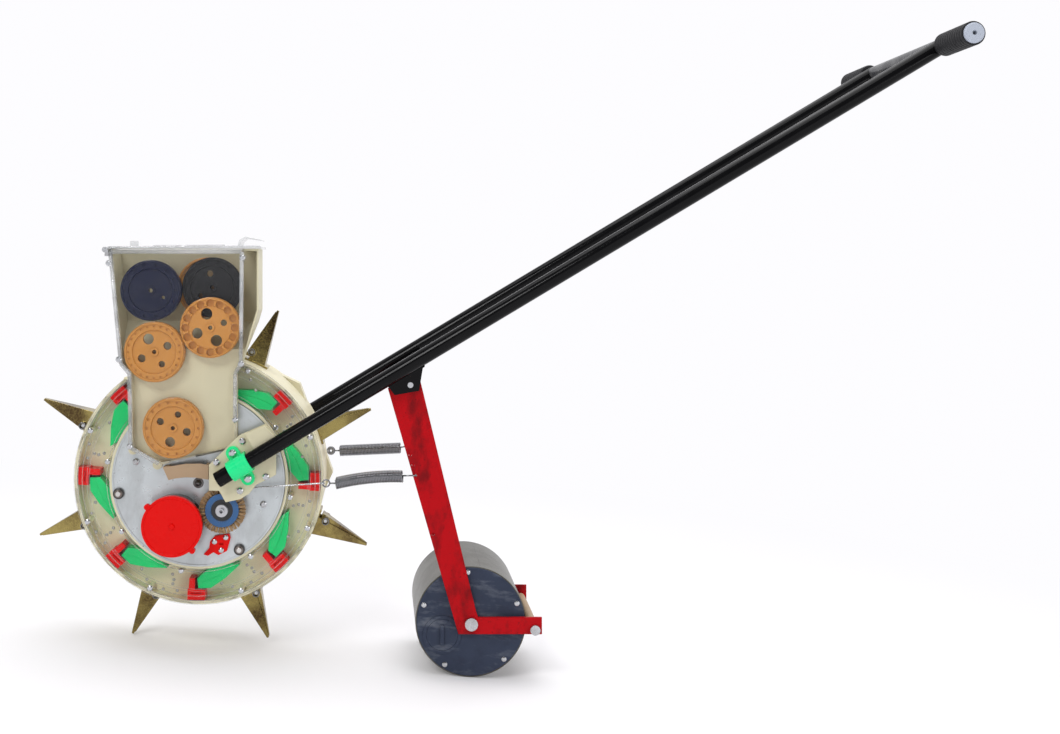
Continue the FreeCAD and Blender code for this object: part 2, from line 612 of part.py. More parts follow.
cap = turned("housing_cap", [
    ("housing_r + cap_gap", "-cap_skirt"), ("cap_r", "-cap_skirt"),
    ("cap_r", "cap_t + 1.2"), ("cap_r - 3", "cap_t + 1.2"), ("cap_r - 4", "cap_t"),
    ("4.5", "cap_t"), ("3.5", "cap_t + 2"), ("0", "cap_t + 2"), ("0", "0.4"),
    ("housing_r + cap_gap", "0.4")])
ears_sketch = new_sketch(cap, "-cap_skirt")
for angle in ("142", "310"):
    circle(ears_sketch, *polar_text("cap_r + 1.5", angle), "cap_lug / 2")
grow(cap, "Pad", ears_sketch, "cap_skirt + cap_t")
cap_bore = new_sketch(cap, "0.4")
circle(cap_bore, "0", "0", "housing_r + cap_gap")
grow(cap, "Pocket", cap_bore, "cap_skirt + 2")
keep("housing_cap", cap, spot(METER_X, METER_Y, plate_face + " + housing_h"))

wheel_face = "housing_h - 2"
shaft_low = "gear_near - gear_w - (%s)" % plate_face
meter_wheel = turned("metering_wheel", [
    ("0", "gear_near + 1 - (%s)" % plate_face), ("shaft_r", "gear_near + 1 - (%s)" % plate_face),
    ("shaft_r", wheel_face + " - meter_wheel_w"),
    ("meter_wheel_r", wheel_face + " - meter_wheel_w"), ("meter_wheel_r", wheel_face),
    ("meter_wheel_r - 5", wheel_face), ("meter_wheel_r - 6", wheel_face + " - 3"),
    ("9", wheel_face + " - 3"), ("8", wheel_face), ("0", wheel_face)])
seed_cells = new_sketch(meter_wheel, wheel_face)
circle(seed_cells, "meter_wheel_r + 1", "0", "seed_pocket_r")
ring_pattern(meter_wheel, [grow(meter_wheel, "Pocket", seed_cells, "meter_wheel_w / 2")],
             "seed_pockets")
keep("metering_wheel", meter_wheel, spot(METER_X, METER_Y, plate_face))


def round_gear(name, teeth, phase):
    """A spur gear with its face at the level of the ring gear, on a shaft stub."""
    shape = gear_prism(teeth, module, False, phase)
    hub = Part.makeCylinder(size("shaft_r + 4"), size("gear_w + 1"))
    return feature(name, shape.fuse(hub).removeSplitter())


meter_phase = size("meter_angle")
tooth_angle = 360 / meter_teeth
slip = (meter_phase - size("brush_angle")) % tooth_angle
brush_phase = size("brush_angle") + 180 - slip * meter_teeth / brush_teeth + 180 / brush_teeth
keep("metering_gear", round_gear("metering_gear", meter_teeth, meter_phase),
     spot(METER_X, METER_Y, "gear_near - gear_w"))
brush_gear = round_gear("brush_gear", brush_teeth, brush_phase)
brush_gear.Placement = spot(z="gear_near - gear_w - brush_near")

brush_hub = turned("brush_hub", [
    ("0", "gear_near + 1 - brush_near"), ("shaft_r", "gear_near + 1 - brush_near"),
    ("shaft_r", "-brush_w"), ("brush_core_r", "-brush_w"), ("brush_core_r", "0"),
    ("16", "0"), ("16", "-1.5"), ("nut_r", "-1.5"), ("nut_r", "nut_h"), ("4", "nut_h"),
    ("4", "nut_h + 4"), ("2.5", "nut_h + 4"), ("2.5", "0.5"), ("0", "0.5")])
keep("brush_hub", fuse("brush_hub_geared", [brush_hub, brush_gear]),
     spot(BRUSH_X, BRUSH_Y, "brush_near"))
bristles = turned("brush_bristles", [
    ("brush_core_r", "-brush_w + 0.5"), ("brush_r", "-brush_w + 1.5"),
    ("brush_r", "-1.5"), ("brush_core_r", "-0.5")])
keep("brush_bristles", bristles, spot(BRUSH_X, BRUSH_Y, "brush_near"))

# ---------------------------------------------------------------- handle tubes, brackets
slope_tan = "tan(tube_slope)"
TUBE_FOOT_Y = "tube_drop + tube_foot_x * " + slope_tan
TUBE_END_X = "tube_foot_x + tube_run"
TUBE_END_Y = "tube_drop + (%s) * %s" % (TUBE_END_X, slope_tan)
tube_length = "tube_run / cos(tube_slope)"
along_tube = Rotation(Vector(0, 0, 1), size("tube_slope")).multiply(
    Rotation(Vector(0, 1, 0), 90))


def tube_spot(side):
    """The foot of a handle tube, with z along the tube."""
    foot = Vector(size("tube_foot_x"), size(TUBE_FOOT_Y), side * size("tube_z"))
    return Placement(foot, along_tube)


for name, side in (("near", 1), ("far", -1)):
    tube = solid_cylinder(name + "_tube_outer", "tube_r", tube_length, tube_spot(side))
    bore = solid_cylinder(name + "_tube_bore", "tube_r - tube_wall", tube_length, tube_spot(side))
    notch = solid_cylinder(name + "_tube_notch", "crossbar_r", "6 * tube_r",
                           spot(TUBE_END_X, TUBE_END_Y, flip(side, "tube_z") + " - 3 * tube_r"))
    piece = cut(name + "_tube_open", tube, bore)
    keep(name + "_handle_tube", cut(name + "_handle_tube", piece, notch))

    body = new_body(name + "_bracket_body")
    face = new_sketch(body, flip(side, "bracket_z"))
    outline(face, [
        ("bracket_left", "26"), ("61", "67"), ("98", "bracket_top"), ("bracket_right", "67"),
        ("bracket_right", "12"), ("84", "-2"), ("75", "-14"), ("62", "-22"),
        ("42", "bracket_low"), ("33", "-10"), ("bracket_left", "-10")])
    grow(body, "Pad", face, "bracket_t", side)
    cradle = new_sketch(body, flip(side, "bracket_z + bracket_t"))
    outline(cradle, [("70", "70"), ("97", "81"), ("111", "66"), ("82", "48")])
    grow(body, "Pad", cradle, "tube_z - bracket_z - bracket_t - 4", side)
    rest = new_sketch(body, flip(side, "bracket_z + bracket_t"))
    outline(rest, [("30", "2"), ("24", "12"), ("76", "44"), ("83", "34")])
    grow(body, "Pad", rest, "tube_z - bracket_z - bracket_t - 7.5", side)
    inner_face = plate_face if side > 0 else "-(%s) + side_plate_t" % far_plate_z
    posts = new_sketch(body, flip(side, inner_face))
    for x, y in BOSSES:
        circle(posts, x, y, "bracket_boss_r")
    grow(body, "Pad", posts, "bracket_z - (%s) + 1" % inner_face, side)
    holes(body, BOSSES, "screw_r", flip(side, "bracket_z + bracket_t"), "60", side)
    bolt_spots = [
        ("clamp_x - clamp_bolt_half * sin(tube_slope)",
         "tube_drop + clamp_x * %s + clamp_bolt_half * cos(tube_slope)" % slope_tan),
        ("clamp_x + clamp_bolt_half * sin(tube_slope)",
         "tube_drop + clamp_x * %s - clamp_bolt_half * cos(tube_slope)" % slope_tan)]
    holes(body, bolt_spots, "bolt_r", flip(side, "bracket_z + bracket_t"), "bracket_t + 4", side)
    seat_tool = solid_cylinder(name + "_tube_seat", "tube_r + seat_gap", tube_length, tube_spot(side))
    keep(name + "_bracket", cut(name + "_bracket", body, seat_tool))

# clamp saddles hold the tubes down on the brackets
rise = "tube_z - bracket_z - bracket_t"
clamp = new_body("clamp_pattern")
walls = new_sketch(clamp)
rectangle(walls, "-(tube_r + clamp_t)", "0", "tube_r + clamp_t", rise)
grow(clamp, "Pad", walls, "clamp_l")
crown = new_sketch(clamp)
circle(crown, "0", rise, "tube_r + clamp_t")
grow(clamp, "Pad", crown, "clamp_l")
foot = new_sketch(clamp, "clamp_l / 2 - clamp_lobe")
rectangle(foot, "-clamp_bolt_half", "0", "clamp_bolt_half", "clamp_t")
grow(clamp, "Pad", foot, "2 * clamp_lobe")
lobes = new_sketch(clamp, "0", "XZ_Plane")
for x in ("-clamp_bolt_half", "clamp_bolt_half"):
    circle(lobes, x, "clamp_l / 2", "clamp_lobe")
grow(clamp, "Pad", lobes, "clamp_t", -1)
bed = new_sketch(clamp, "clamp_l")
circle(bed, "0", rise, "tube_r + seat_gap")
grow(clamp, "Pocket", bed, "clamp_l")
gap = new_sketch(clamp, "clamp_l")
rectangle(gap, "-tube_r - seat_gap", "-tube_r", "tube_r + seat_gap", rise)
grow(clamp, "Pocket", gap, "clamp_l")
bolt_holes = new_sketch(clamp, "-clamp_t - 1", "XZ_Plane")
for x in ("-clamp_bolt_half", "clamp_bolt_half"):
    circle(bolt_holes, x, "clamp_l / 2", "bolt_r")
grow(clamp, "Pocket", bolt_holes, "clamp_t + 2", -1)


def clamp_spot(side):
    """A clamp on the tube: its z runs along the tube and its y runs outwards."""
    slope = math.radians(size("tube_slope"))
    run = Vector(math.cos(slope), math.sin(slope), 0)
    out = Vector(0, 0, side)
    across = out.cross(run)
    turn = Rotation(across, out, run, "ZYX")
    middle = Vector(size("clamp_x"), size("tube_drop + clamp_x * " + slope_tan),
                    side * size("bracket_z + bracket_t"))
    return Placement(middle - run * (size("clamp_l") / 2), turn)


keep("tube_clamps", copies("tube_clamps", clamp, [clamp_spot(1), clamp_spot(-1)]))

clamp_bolt = bolt_shape("clamp_bolt_pattern", "bolt_r", "clamp_t + bracket_t",
                        "bolt_head_r", "bolt_head_h")
turn_over = Rotation(Vector(1, 0, 0), 180)
bolt_places = []
for side in (1, -1):
    for x, y in bolt_spots:
        place = spot(x, y, flip(side, "bracket_z + bracket_t + clamp_t"))
        if side < 0:
            place = place.multiply(Placement(Vector(), turn_over))
        bolt_places.append(place)
clamp_bolts = copies("clamp_bolts", clamp_bolt, bolt_places)

bracket_screw = bolt_shape("bracket_screw_pattern", "screw_r", "24", "screw_head_r",
                           "screw_head_h")
bracket_places = []
for side in (1, -1):
    for x, y in BOSSES:
        place = spot(x, y, flip(side, "bracket_z + bracket_t"))
        if side < 0:
            place = place.multiply(Placement(Vector(), turn_over))
        bracket_places.append(place)
bracket_screws = copies("bracket_screws", bracket_screw, bracket_places)

plate_screw = bolt_shape("plate_screw_pattern", "screw_r", "side_plate_t + 1.5", "screw_head_r",
                         "screw_head_h")
plate_places = [spot(x, y, plate_face) for x, y in STUDS]
far_face = "%s - side_plate_t" % far_plate_z
for x, y in STUDS:
    plate_places.append(spot(x, y, far_face).multiply(Placement(Vector(), turn_over)))
plate_screws = copies("plate_screws", plate_screw, plate_places)


def together(name, groups):
    """One node for fasteners that are drawn in several groups."""
    doc.recompute()
    return feature(name, Part.makeCompound([s for g in groups for s in g.Shape.Solids]))



# ---------------------------------------------------------------- crossbar and grips
crossbar_outer = solid_cylinder("crossbar_outer", "crossbar_r", "2 * crossbar_half")
crossbar_bore = solid_cylinder("crossbar_bore", "crossbar_r - tube_wall", "2 * crossbar_half")
keep("crossbar", cut("crossbar", crossbar_outer, crossbar_bore),
     spot(TUBE_END_X, TUBE_END_Y, "-crossbar_half"))
for name, side in (("near", 1), ("far", -1)):
    ribs = []
    for index in range(12):
        low = "%d * grip_l / 12" % index
        ribs += [("grip_r - 0.8", flip(side, "%s + 1.2" % low)),
                 ("grip_r", flip(side, "%s + 2" % low)),
                 ("grip_r", flip(side, "%s + grip_l / 12 - 0.8" % low)),
                 ("grip_r - 0.8", flip(side, "%s + grip_l / 12" % low))]
    grip = turned(name + "_grip", [("crossbar_r", "0"), ("grip_r - 1.5", "0")] + ribs
                  + [("crossbar_r", flip(side, "grip_l"))])
    keep(name + "_grip", grip, spot(TUBE_END_X, TUBE_END_Y, flip(side, "crossbar_half - grip_l")))
plug = turned("plug_pattern", [
    ("plug_bore", "-8"), ("crossbar_r - tube_wall", "-8"), ("crossbar_r - tube_wall", "0"),
    ("plug_r", "0"), ("plug_r", "plug_t * 0.6"), ("plug_r - 2", "plug_t"), ("plug_bore", "plug_t")])
plug_places = [spot(TUBE_END_X, TUBE_END_Y, "crossbar_half"),
               spot(TUBE_END_X, TUBE_END_Y, "-crossbar_half").multiply(
                   Placement(Vector(), turn_over))]
keep("grip_plugs", copies("grip_plugs", plug, plug_places))

# ---------------------------------------------------------------- hopper
def free_sketch(name, points):
    """A sketch of its own, for shapes that are made with Part tools."""
    sketch = doc.addObject("Sketcher::SketchObject", name)
    outline(sketch, points)
    return sketch


def inset(name, sketch, amount):
    thing = doc.addObject("Part::Offset2D", name)
    thing.Source = sketch
    thing.Join = "Intersection"
    bind(thing, "Value", "-(%s)" % amount)
    return thing


neck_points = [
    ("neck_right", "shoulder_y - neck_drop"), ("neck_right", "neck_foot"),
    ("foot_x + 64", "foot_y + 14"), ("foot_x", "foot_y"), ("neck_left + 2", "neck_foot - 2"),
    ("neck_left", "shoulder_y - neck_drop"), ("shoulder_left", "shoulder_y")]
front_points = [("hopper_top_left", "hopper_top"), ("hopper_top_right", "hopper_top"),
                ("shoulder_right", "shoulder_y")] + neck_points
back_points = [("hopper_top_left", "hopper_top"),
               ("hopper_top_right + hopper_flare", "hopper_top"),
               ("hopper_top_right + hopper_flare", "flare_y"),
               ("shoulder_right", "shoulder_y + 2")] + neck_points
front_side = free_sketch("hopper_front_outline", front_points)
back_side = free_sketch("hopper_back_outline", back_points)
front_in = inset("hopper_front_inset", front_side, "hopper_wall")
back_in = inset("hopper_back_inset", back_side, "hopper_wall")


def under_slope(name, shift):
    """The space behind the sloping hopper floor, as a prism right across it."""
    body = new_body(name)
    sketch = new_sketch(body, "-200", "YZ_Plane")
    outline(sketch, [
        ("-20", "-40"), ("-20", "neck_back + " + shift),
        ("slope_low + %s * 0.5" % shift, "neck_back + " + shift),
        ("slope_high + %s * 0.5" % shift, "hopper_back + " + shift),
        ("hopper_top + 60", "hopper_back + " + shift), ("hopper_top + 60", "-40")])
    grow(body, "Pad", sketch, "400")
    return body


top_hole = ("hopper_top_right - hopper_top_left - 2 * hopper_wall", "30",
            "hopper_front - hopper_back - 2 * hopper_wall")
top_box = solid_box("hopper_mouth", *top_hole,
                    spot("hopper_top_left + hopper_wall + 0.3", "hopper_top - hopper_wall - 2",
                         "hopper_back + hopper_wall"))
outlet_box = solid_box("hopper_outlet_hole", "36", "30", "13",
                       spot("foot_x + 12", "foot_y - 12", "neck_back + 4"))
front_block = extrusion("hopper_front_block", front_side, "hopper_seam",
                        "hopper_front - hopper_seam")
front_room = extrusion("hopper_front_room", front_in, "hopper_seam - 1",
                       "hopper_front - hopper_seam - hopper_wall + 1")
clear = cut("hopper_front_hollow", front_block, front_room)
clear = cut("hopper_front_open", clear, top_box)
window = cut("hopper_window_open", clear, outlet_box)

back_block = extrusion("hopper_back_block", back_side, "hopper_back", "hopper_seam - hopper_back")
back_room = extrusion("hopper_back_room", back_in, "hopper_back + hopper_wall",
                      "hopper_seam - hopper_back")
room = cut("hopper_room", back_room, under_slope("room_slope", "hopper_wall"))
block = cut("hopper_block", back_block, under_slope("block_slope", "0"))
tub = cut("hopper_tub", cut("hopper_tub_closed", block, room), top_box)
tub = cut("hopper_tub_open", tub, outlet_box)
mount_a = solid_cylinder("hopper_post_a", "6.5", "hopper_seam - (%s)" % plate_face,
                         spot("neck_left + 4", "neck_foot - 4", plate_face))
mount_b = solid_cylinder("hopper_post_b", "6.5", "hopper_seam - (%s)" % plate_face,
                         spot("foot_x - 6", "foot_y - 1", plate_face))
tub = fuse("hopper_tub_posts", [tub, mount_a, mount_b])
keep("hopper_body", cut("hopper_body", tub, cut("hopper_post_room", extrusion(
    "hopper_post_core", back_in, "neck_back + hopper_wall", "30"),
    under_slope("post_slope", "hopper_wall"))))

HOPPER_SCREWS = (
    ("hopper_top_left + 1", "hopper_top - 20"), ("hopper_top_right - 1", "hopper_top - 12"),
    ("shoulder_left - 1", "shoulder_y + 8"), ("shoulder_right - 1", "shoulder_y + 2"),
    ("neck_left + 2", "neck_foot + 3"), ("neck_right - 1", "neck_foot + 40"))
screw_pads = [solid_cylinder("hopper_pad", "5", "hopper_front - hopper_seam",
                             spot(x, y, "hopper_seam")) for x, y in HOPPER_SCREWS]
pad_holes = [solid_cylinder("hopper_pad_hole", "screw_r - 0.6", "30", spot(x, y, "hopper_seam"))
             for x, y in HOPPER_SCREWS]
window = cut("hopper_window_padded", fuse("hopper_window_pads", [window] + screw_pads),
             fuse("hopper_pad_holes", pad_holes))
keep("hopper_window", window)
hopper_screw = bolt_shape("hopper_screw_pattern", "screw_r - 0.6", "11", "screw_head_r - 0.6",
                          "screw_head_h")
screw_spots = [spot(x, y, "hopper_front") for x, y in HOPPER_SCREWS]
keep("hopper_screws", copies("hopper_screws", hopper_screw, screw_spots))

lid_depth = "hopper_front - hopper_back + 2"
HINGE_X = "hopper_top_left - hinge_r - lid_gap"
HINGE_Y = "hopper_top - 1"
lid = new_body("hopper_lid")
lid_side = new_sketch(lid)
outline(lid_side, [
    ("0", "hinge_r - lid_t"), ("hinge_r", "1 + lid_gap"),
    ("hopper_top_right + hopper_flare + lid_over - (%s)" % HINGE_X, "1 + lid_gap"),
    ("hopper_top_right + hopper_flare + lid_over - (%s)" % HINGE_X, "1 + lid_gap + lid_t"),
    ("hinge_r", "1 + lid_gap + lid_t"), ("0", "hinge_r")])
grow(lid, "Pad", lid_side, lid_depth)
barrel = new_sketch(lid)
circle(barrel, "0", "0", "hinge_r")
grow(lid, "Pad", barrel, lid_depth)
knob = new_sketch(lid, "-(1 + lid_gap + lid_t) + 0.5", "XZ_Plane")
circle(knob, "34", "(%s) / 2" % lid_depth, "knob_r")
grow(lid, "Pad", knob, "knob_h", -1)
holes(lid, [("0", "0")], "hinge_pin_r + 0.06", lid_depth, lid_depth)
for start in ("0", "(%s) * 0.7" % lid_depth):
    knuckle_gap = new_sketch(lid, "%s + (%s) * 0.3" % (start, lid_depth))
    rectangle(knuckle_gap, "-hinge_r - 1", "-hinge_r - 1", "hinge_r + lid_gap / 2", "hinge_r + 1")
    grow(lid, "Pocket", knuckle_gap, "(%s) * 0.3" % lid_depth)
keep("hopper_lid", lid, spot(HINGE_X, HINGE_Y, "hopper_back - 1"))

hinge_pin = solid_cylinder("hinge_pin_rod", "hinge_pin_r", lid_depth)
knuckles = []
for start in ("0", "(%s) * 0.7" % lid_depth):
    knuckles.append(solid_cylinder("hinge_knuckle", "hinge_r - 0.6", "(%s) * 0.3 - 0.8" % lid_depth,
                                   spot(z="%s + 0.4" % start)))
    knuckles.append(solid_box("hinge_leaf", "hinge_r + lid_gap", "9", "(%s) * 0.3 - 0.8" % lid_depth,
                              spot("0", "-9", "%s + 0.4" % start)))
keep("lid_hinge", fuse("lid_hinge", [hinge_pin] + knuckles),
     spot(HINGE_X, HINGE_Y, "hopper_back - 1"))

# seed outlet: a curved hollow shoe under the hopper neck, over a slot in the near side plate
outlet = new_body("seed_outlet_body")
outlet_side = new_sketch(outlet)
outline(outlet_side, OUTLET)
grow(outlet, "Pad", outlet_side, "outlet_h")
outlet_room = new_sketch(outlet, "outlet_h - 2")
outline(outlet_room, [("-40", "18"), ("-31", "40"), ("11", "40"), ("14", "19"), ("14", "9"),
                      ("0", "10"), ("-20", "10"), ("-33", "7")])
grow(outlet, "Pocket", outlet_room, "outlet_h")
outlet_screw_gap = solid_cylinder("outlet_post_trim", "6.8", "60",
                                  spot("foot_x - 6", "foot_y - 1", plate_face))
outlet.Placement = spot(z=plate_face)
keep("seed_outlet", cut("seed_outlet", outlet, outlet_screw_gap))

# small red guard plate under the brush
guard = new_body("seed_guard")
guard_side = new_sketch(guard)
outline(guard_side, [("8", "-104"), ("16", "-95"), ("17", "-86"), ("24", "-78"), ("44", "-75"),
                     ("46", "-81"), ("41", "-99"), ("29", "-105"), ("22", "-101"), ("14", "-106")])
grow(guard, "Pad", guard_side, "5")
holes(guard, GUARD_SCREWS, "screw_r", "5", "5")
guard_slot = new_sketch(guard, "5")
rectangle(guard_slot, "30", "-91", "36", "-87.5")
grow(guard, "Pocket", guard_slot, "3")
keep("seed_guard", guard, spot(z=plate_face))
guard_screw = bolt_shape("guard_screw_pattern", "screw_r", "7", "screw_head_r - 1", "2")
guard_screws = copies("guard_screws", guard_screw,
                      [spot(x, y, plate_face + " + 5") for x, y in GUARD_SCREWS])
keep("core_fasteners", together("core_fasteners", [core_spacers, bracket_screws, plate_screws,
                                                   guard_screws]))

# ---------------------------------------------------------------- spare seed wheels
def spare_wheel(name, web_holes, cells, cell_ring, cell_r, cell_depth, notches):
    """A seed wheel: dished web with unlike holes, seed cells in its face and a notched rim."""
    body = turned(name, [
        ("3", "2"), ("spare_hub_r", "2"), ("spare_hub_r", "4"), ("spare_r - spare_rim", "4"),
        ("spare_r - spare_rim", "0"), ("spare_r", "0"), ("spare_r", "spare_w - 3.5"),
        ("spare_r - 1.2", "spare_w - 3"), ("spare_r - 1.2", "spare_w - 0.6"),
        ("spare_r - 2", "spare_w"), ("spare_r - 3.6", "spare_w"), ("spare_r - 3.8", "spare_w - 1.4"),
        (WEB_EDGE, "spare_w - 1.4"), (WEB_EDGE + " - 1", "spare_w - 4"),
        ("spare_hub_r", "spare_w - 4"), ("spare_hub_r", "spare_w - 2"), ("3", "spare_w - 2")])
    for angle, hole_r in web_holes:
        web_hole = new_sketch(body, "spare_w")
        circle(web_hole, *polar_text("spare_hole_ring", angle), hole_r)
        grow(body, "Pocket", web_hole, "spare_w")
    face_cell = new_sketch(body, "spare_w")
    circle(face_cell, cell_ring, "0", cell_r)
    ring_pattern(body, [grow(body, "Pocket", face_cell, cell_depth)], cells)
    if notches:
        rim_cell = new_sketch(body, "spare_w - 5")
        circle(rim_cell, "spare_r + 0.8", "0", "2.2")
        ring_pattern(body, [grow(body, "Pocket", rim_cell, "spare_w * 0.4")], notches)
    return body


WEB_EDGE = "spare_r - spare_rim - 5"
front_layer = "hopper_front - hopper_wall - spare_gap - spare_w"
second_layer = front_layer + " - spare_w - spare_gap"
third_layer = second_layer + " - spare_w - spare_gap"
SPARES = (
    ("spare_wheel_navy", "-64", "268", front_layer, (("330", "2.4"),), "14", "spare_r - 6.4", "2.2",
     "3", "0"),
    ("spare_wheel_black", "20", "272", second_layer, (("100", "4.5"), ("215", "3.5")), "14",
     "spare_r - 6.4", "2.2", "3", "0"),
    ("amber_wheel_hidden", "10", "272", third_layer, (("80", "6"), ("200", "5")), "12",
     "spare_r - 6.4", "2.2", "3", "12"),
    ("amber_wheel_scalloped", "19.2", "216", front_layer,
     (("105", "8"), ("20", "4.5"), ("203", "7.5"), ("295", "8")), "16", "spare_r - 8", "5.4", "6.5", "0"),
    ("amber_wheel_fine", "-59", "182", front_layer,
     (("115", "7.5"), ("25", "5.6"), ("207", "5.6"), ("301", "4.5")), "24", "spare_r - 6.4", "1.6",
     "3", "24"),
    ("amber_wheel_lowest", "-33", "foot_y + 51.5", front_layer,
     (("70", "4.5"), ("153", "5"), ("258", "7"), ("344", "5.6")), "18", "spare_r - 6.4", "1.8",
     "3", "18"),
)
amber_wheels = []
for name, x, y, z, web_holes, cells, cell_ring, cell_r, cell_depth, notches in SPARES:
    wheel = spare_wheel(name, web_holes, cells, cell_ring, cell_r, cell_depth, int(notches))
    if "amber" in name:
        amber_wheels.append(copies(name, wheel, [spot(x, y, z)]))
    else:
        keep(name, wheel, spot(x, y, z))
keep("spare_wheels_amber", together("spare_wheels_amber", amber_wheels))

# ---------------------------------------------------------------- press-wheel arms
bar_low = "press_y - arm_bar_h / 2 - 3"
bar_end = "press_x + arm_bar_l"
arm_points = [
    ("arm_top_x - arm_top_w / 2", "arm_top_y - 10.5"), ("press_x - 18", bar_low),
    (bar_end, bar_low), (bar_end, bar_low + " + arm_bar_h"),
    ("press_x - 18 + arm_low_w + 3", bar_low + " + arm_bar_h"),
    ("press_x - 18 + arm_low_w", bar_low + " + arm_bar_h + 8"),
    ("arm_top_x + arm_top_w / 2", "arm_top_y + 10.5")]
SPRING_HOLES = (("299", "38"), ("303", "24"), ("307", "9.5"), ("331", "-73"))
SCRAPER_X = "press_x + press_r + scraper_gap + 11"
SCRAPER_Y = "press_y - 8.6"
for name, side in (("near", 1), ("far", -1)):
    arm = new_body(name + "_press_arm")
    arm_side = new_sketch(arm, flip(side, "arm_z - arm_t"))
    outline(arm_side, arm_points)
    grow(arm, "Pad", arm_side, "arm_t", side)
    top = flip(side, "arm_z")
    holes(arm, SPRING_HOLES, "spring_hole_r", top, "arm_t", side)
    holes(arm, [("pivot_x", "pivot_y")], "pivot_r + pivot_gap", top, "arm_t", side)
    holes(arm, [("press_x", "press_y")], "axle_r", top, "arm_t", side)
    holes(arm, [(SCRAPER_X, SCRAPER_Y)], "scraper_r", top, "arm_t", side)
    keep(name + "_press_arm", arm)

# lugs welded under the tubes carry the arms on a pivot bolt each
lugs = []
for name, side in (("near", 1), ("far", -1)):
    lug = new_body(name + "_lug_body")
    lug_side = new_sketch(lug, flip(side, "arm_z + lug_gap"))
    outline(lug_side, [("pivot_x - 34", "pivot_y + 2"), ("pivot_x - 22", "pivot_y - 14"),
                       ("pivot_x + 12", "pivot_y - 8"), ("pivot_x + 20", "pivot_y + 40"),
                       ("pivot_x - 10", "pivot_y + 22")])
    grow(lug, "Pad", lug_side, "lug_t", side)
    lug_foot = new_sketch(lug, flip(side, "arm_z + lug_gap + lug_t / 2"))
    outline(lug_foot, [("pivot_x - 34", "pivot_y + 2"), ("pivot_x - 30", "pivot_y - 2"),
                       ("pivot_x + 19", "pivot_y + 27"), ("pivot_x + 20", "pivot_y + 40"),
                       ("pivot_x - 10", "pivot_y + 22")])
    grow(lug, "Pad", lug_foot, "tube_z - arm_z - lug_gap", side)
    holes(lug, [("pivot_x", "pivot_y")], "pivot_r", flip(side, "arm_z + lug_gap + lug_t"),
          "lug_t", side)
    tube_tool = solid_cylinder(name + "_lug_tube", "tube_r + seat_gap", tube_length, tube_spot(side))
    lugs.append(cut(name + "_lug", lug, tube_tool))
keep("arm_lugs", together("arm_lugs", lugs))

pivot_bolt = turned("pivot_bolt_pattern", [
    ("0", "-arm_t - lug_gap - 5"), ("pivot_r + 3", "-arm_t - lug_gap - 5"),
    ("pivot_r + 3", "-arm_t - lug_gap - 0.4"), ("pivot_r", "-arm_t - lug_gap - 0.4"),
    ("pivot_r", "lug_t"), ("0", "lug_t")])
pivot_places = [spot("pivot_x", "pivot_y", "arm_z + lug_gap"),
                spot("pivot_x", "pivot_y", "-arm_z - lug_gap").multiply(
                    Placement(Vector(), turn_over))]
pivot_bolts = copies("pivot_bolts", pivot_bolt, pivot_places)
keep("frame_bolts", together("frame_bolts", [clamp_bolts, pivot_bolts]))

# ---------------------------------------------------------------- press wheel
wheel_spot = spot("press_x", "press_y")
skin_outer = solid_cylinder("press_skin_outer", "press_r", "2 * press_half", spot(z="-press_half"))
skin_inner = solid_cylinder("press_skin_inner", "press_r - press_skin", "2 * press_half",
                            spot(z="-press_half"))
keep("press_wheel_skin", cut("press_wheel_skin", skin_outer, skin_inner), wheel_spot)

FILLER_X, FILLER_Y = polar_text("filler_out", "filler_angle")
PRESS_SCREWS = ("93.4", "21.9", "-48.2", "238.5", "160")
for name, side in (("near", 1), ("far", -1)):
    body = turned(name + "_end_cap", [
        ("axle_r + axle_gap", flip(side, "0")), ("hub_r", flip(side, "0")),
        ("press_r - press_skin", flip(side, "0")),
        ("press_r - press_skin", flip(side, "end_cap_t - 1.5")),
        ("press_r - press_skin - 1.5", flip(side, "end_cap_t")),
        ("axle_r + axle_gap", flip(side, "end_cap_t"))])
    start = flip(side, "end_cap_t")
    screw_holes = [polar_text("press_screw_ring", angle) for angle in PRESS_SCREWS]
    holes(body, screw_holes, "screw_r", start, "end_cap_t", side)
    if side > 0:
        raised_ring = new_sketch(body, "end_cap_t - 1")
        circle(raised_ring, FILLER_X, FILLER_Y, "filler_ring")
        grow(body, "Pad", raised_ring, "2.2")
        holes(body, [(FILLER_X, FILLER_Y)], "filler_r + 0.3", "end_cap_t + 2", "5")
        holes(body, [(FILLER_X, FILLER_Y)], "filler_r - 6", "end_cap_t + 2", "end_cap_t + 4")
    keep(name + "_end_cap", body,
         spot("press_x", "press_y", flip(side, "press_half - end_cap_t + 1.5")))

cap_face = "press_half + 1.5"
filler = turned("filler_cap", [
    ("0", "-6"), ("filler_r - 6.3", "-6"), ("filler_r - 6.3", "-2.7"),
    ("filler_r", "-2.7"), ("filler_r", "1"), ("0", "1")])
thumb_bar = new_sketch(filler, "0")
rectangle(thumb_bar, "-2.5", "-14", "2.5", "14")
grow(filler, "Pad", thumb_bar, "4")
keep("filler_cap", filler, spot("press_x + " + FILLER_X, "press_y + " + FILLER_Y, cap_face))

press_screw = bolt_shape("press_screw_pattern", "screw_r", "end_cap_t", "screw_head_r - 1", "1.6")
press_places = []
for side in (1, -1):
    for angle in PRESS_SCREWS:
        x, y = polar_text("press_screw_ring", angle)
        place = spot("press_x + " + x, "press_y + " + y, flip(side, cap_face))
        if side < 0:
            place = place.multiply(Placement(Vector(), turn_over))
        press_places.append(place)
keep("press_screws", copies("press_screws", press_screw, press_places))

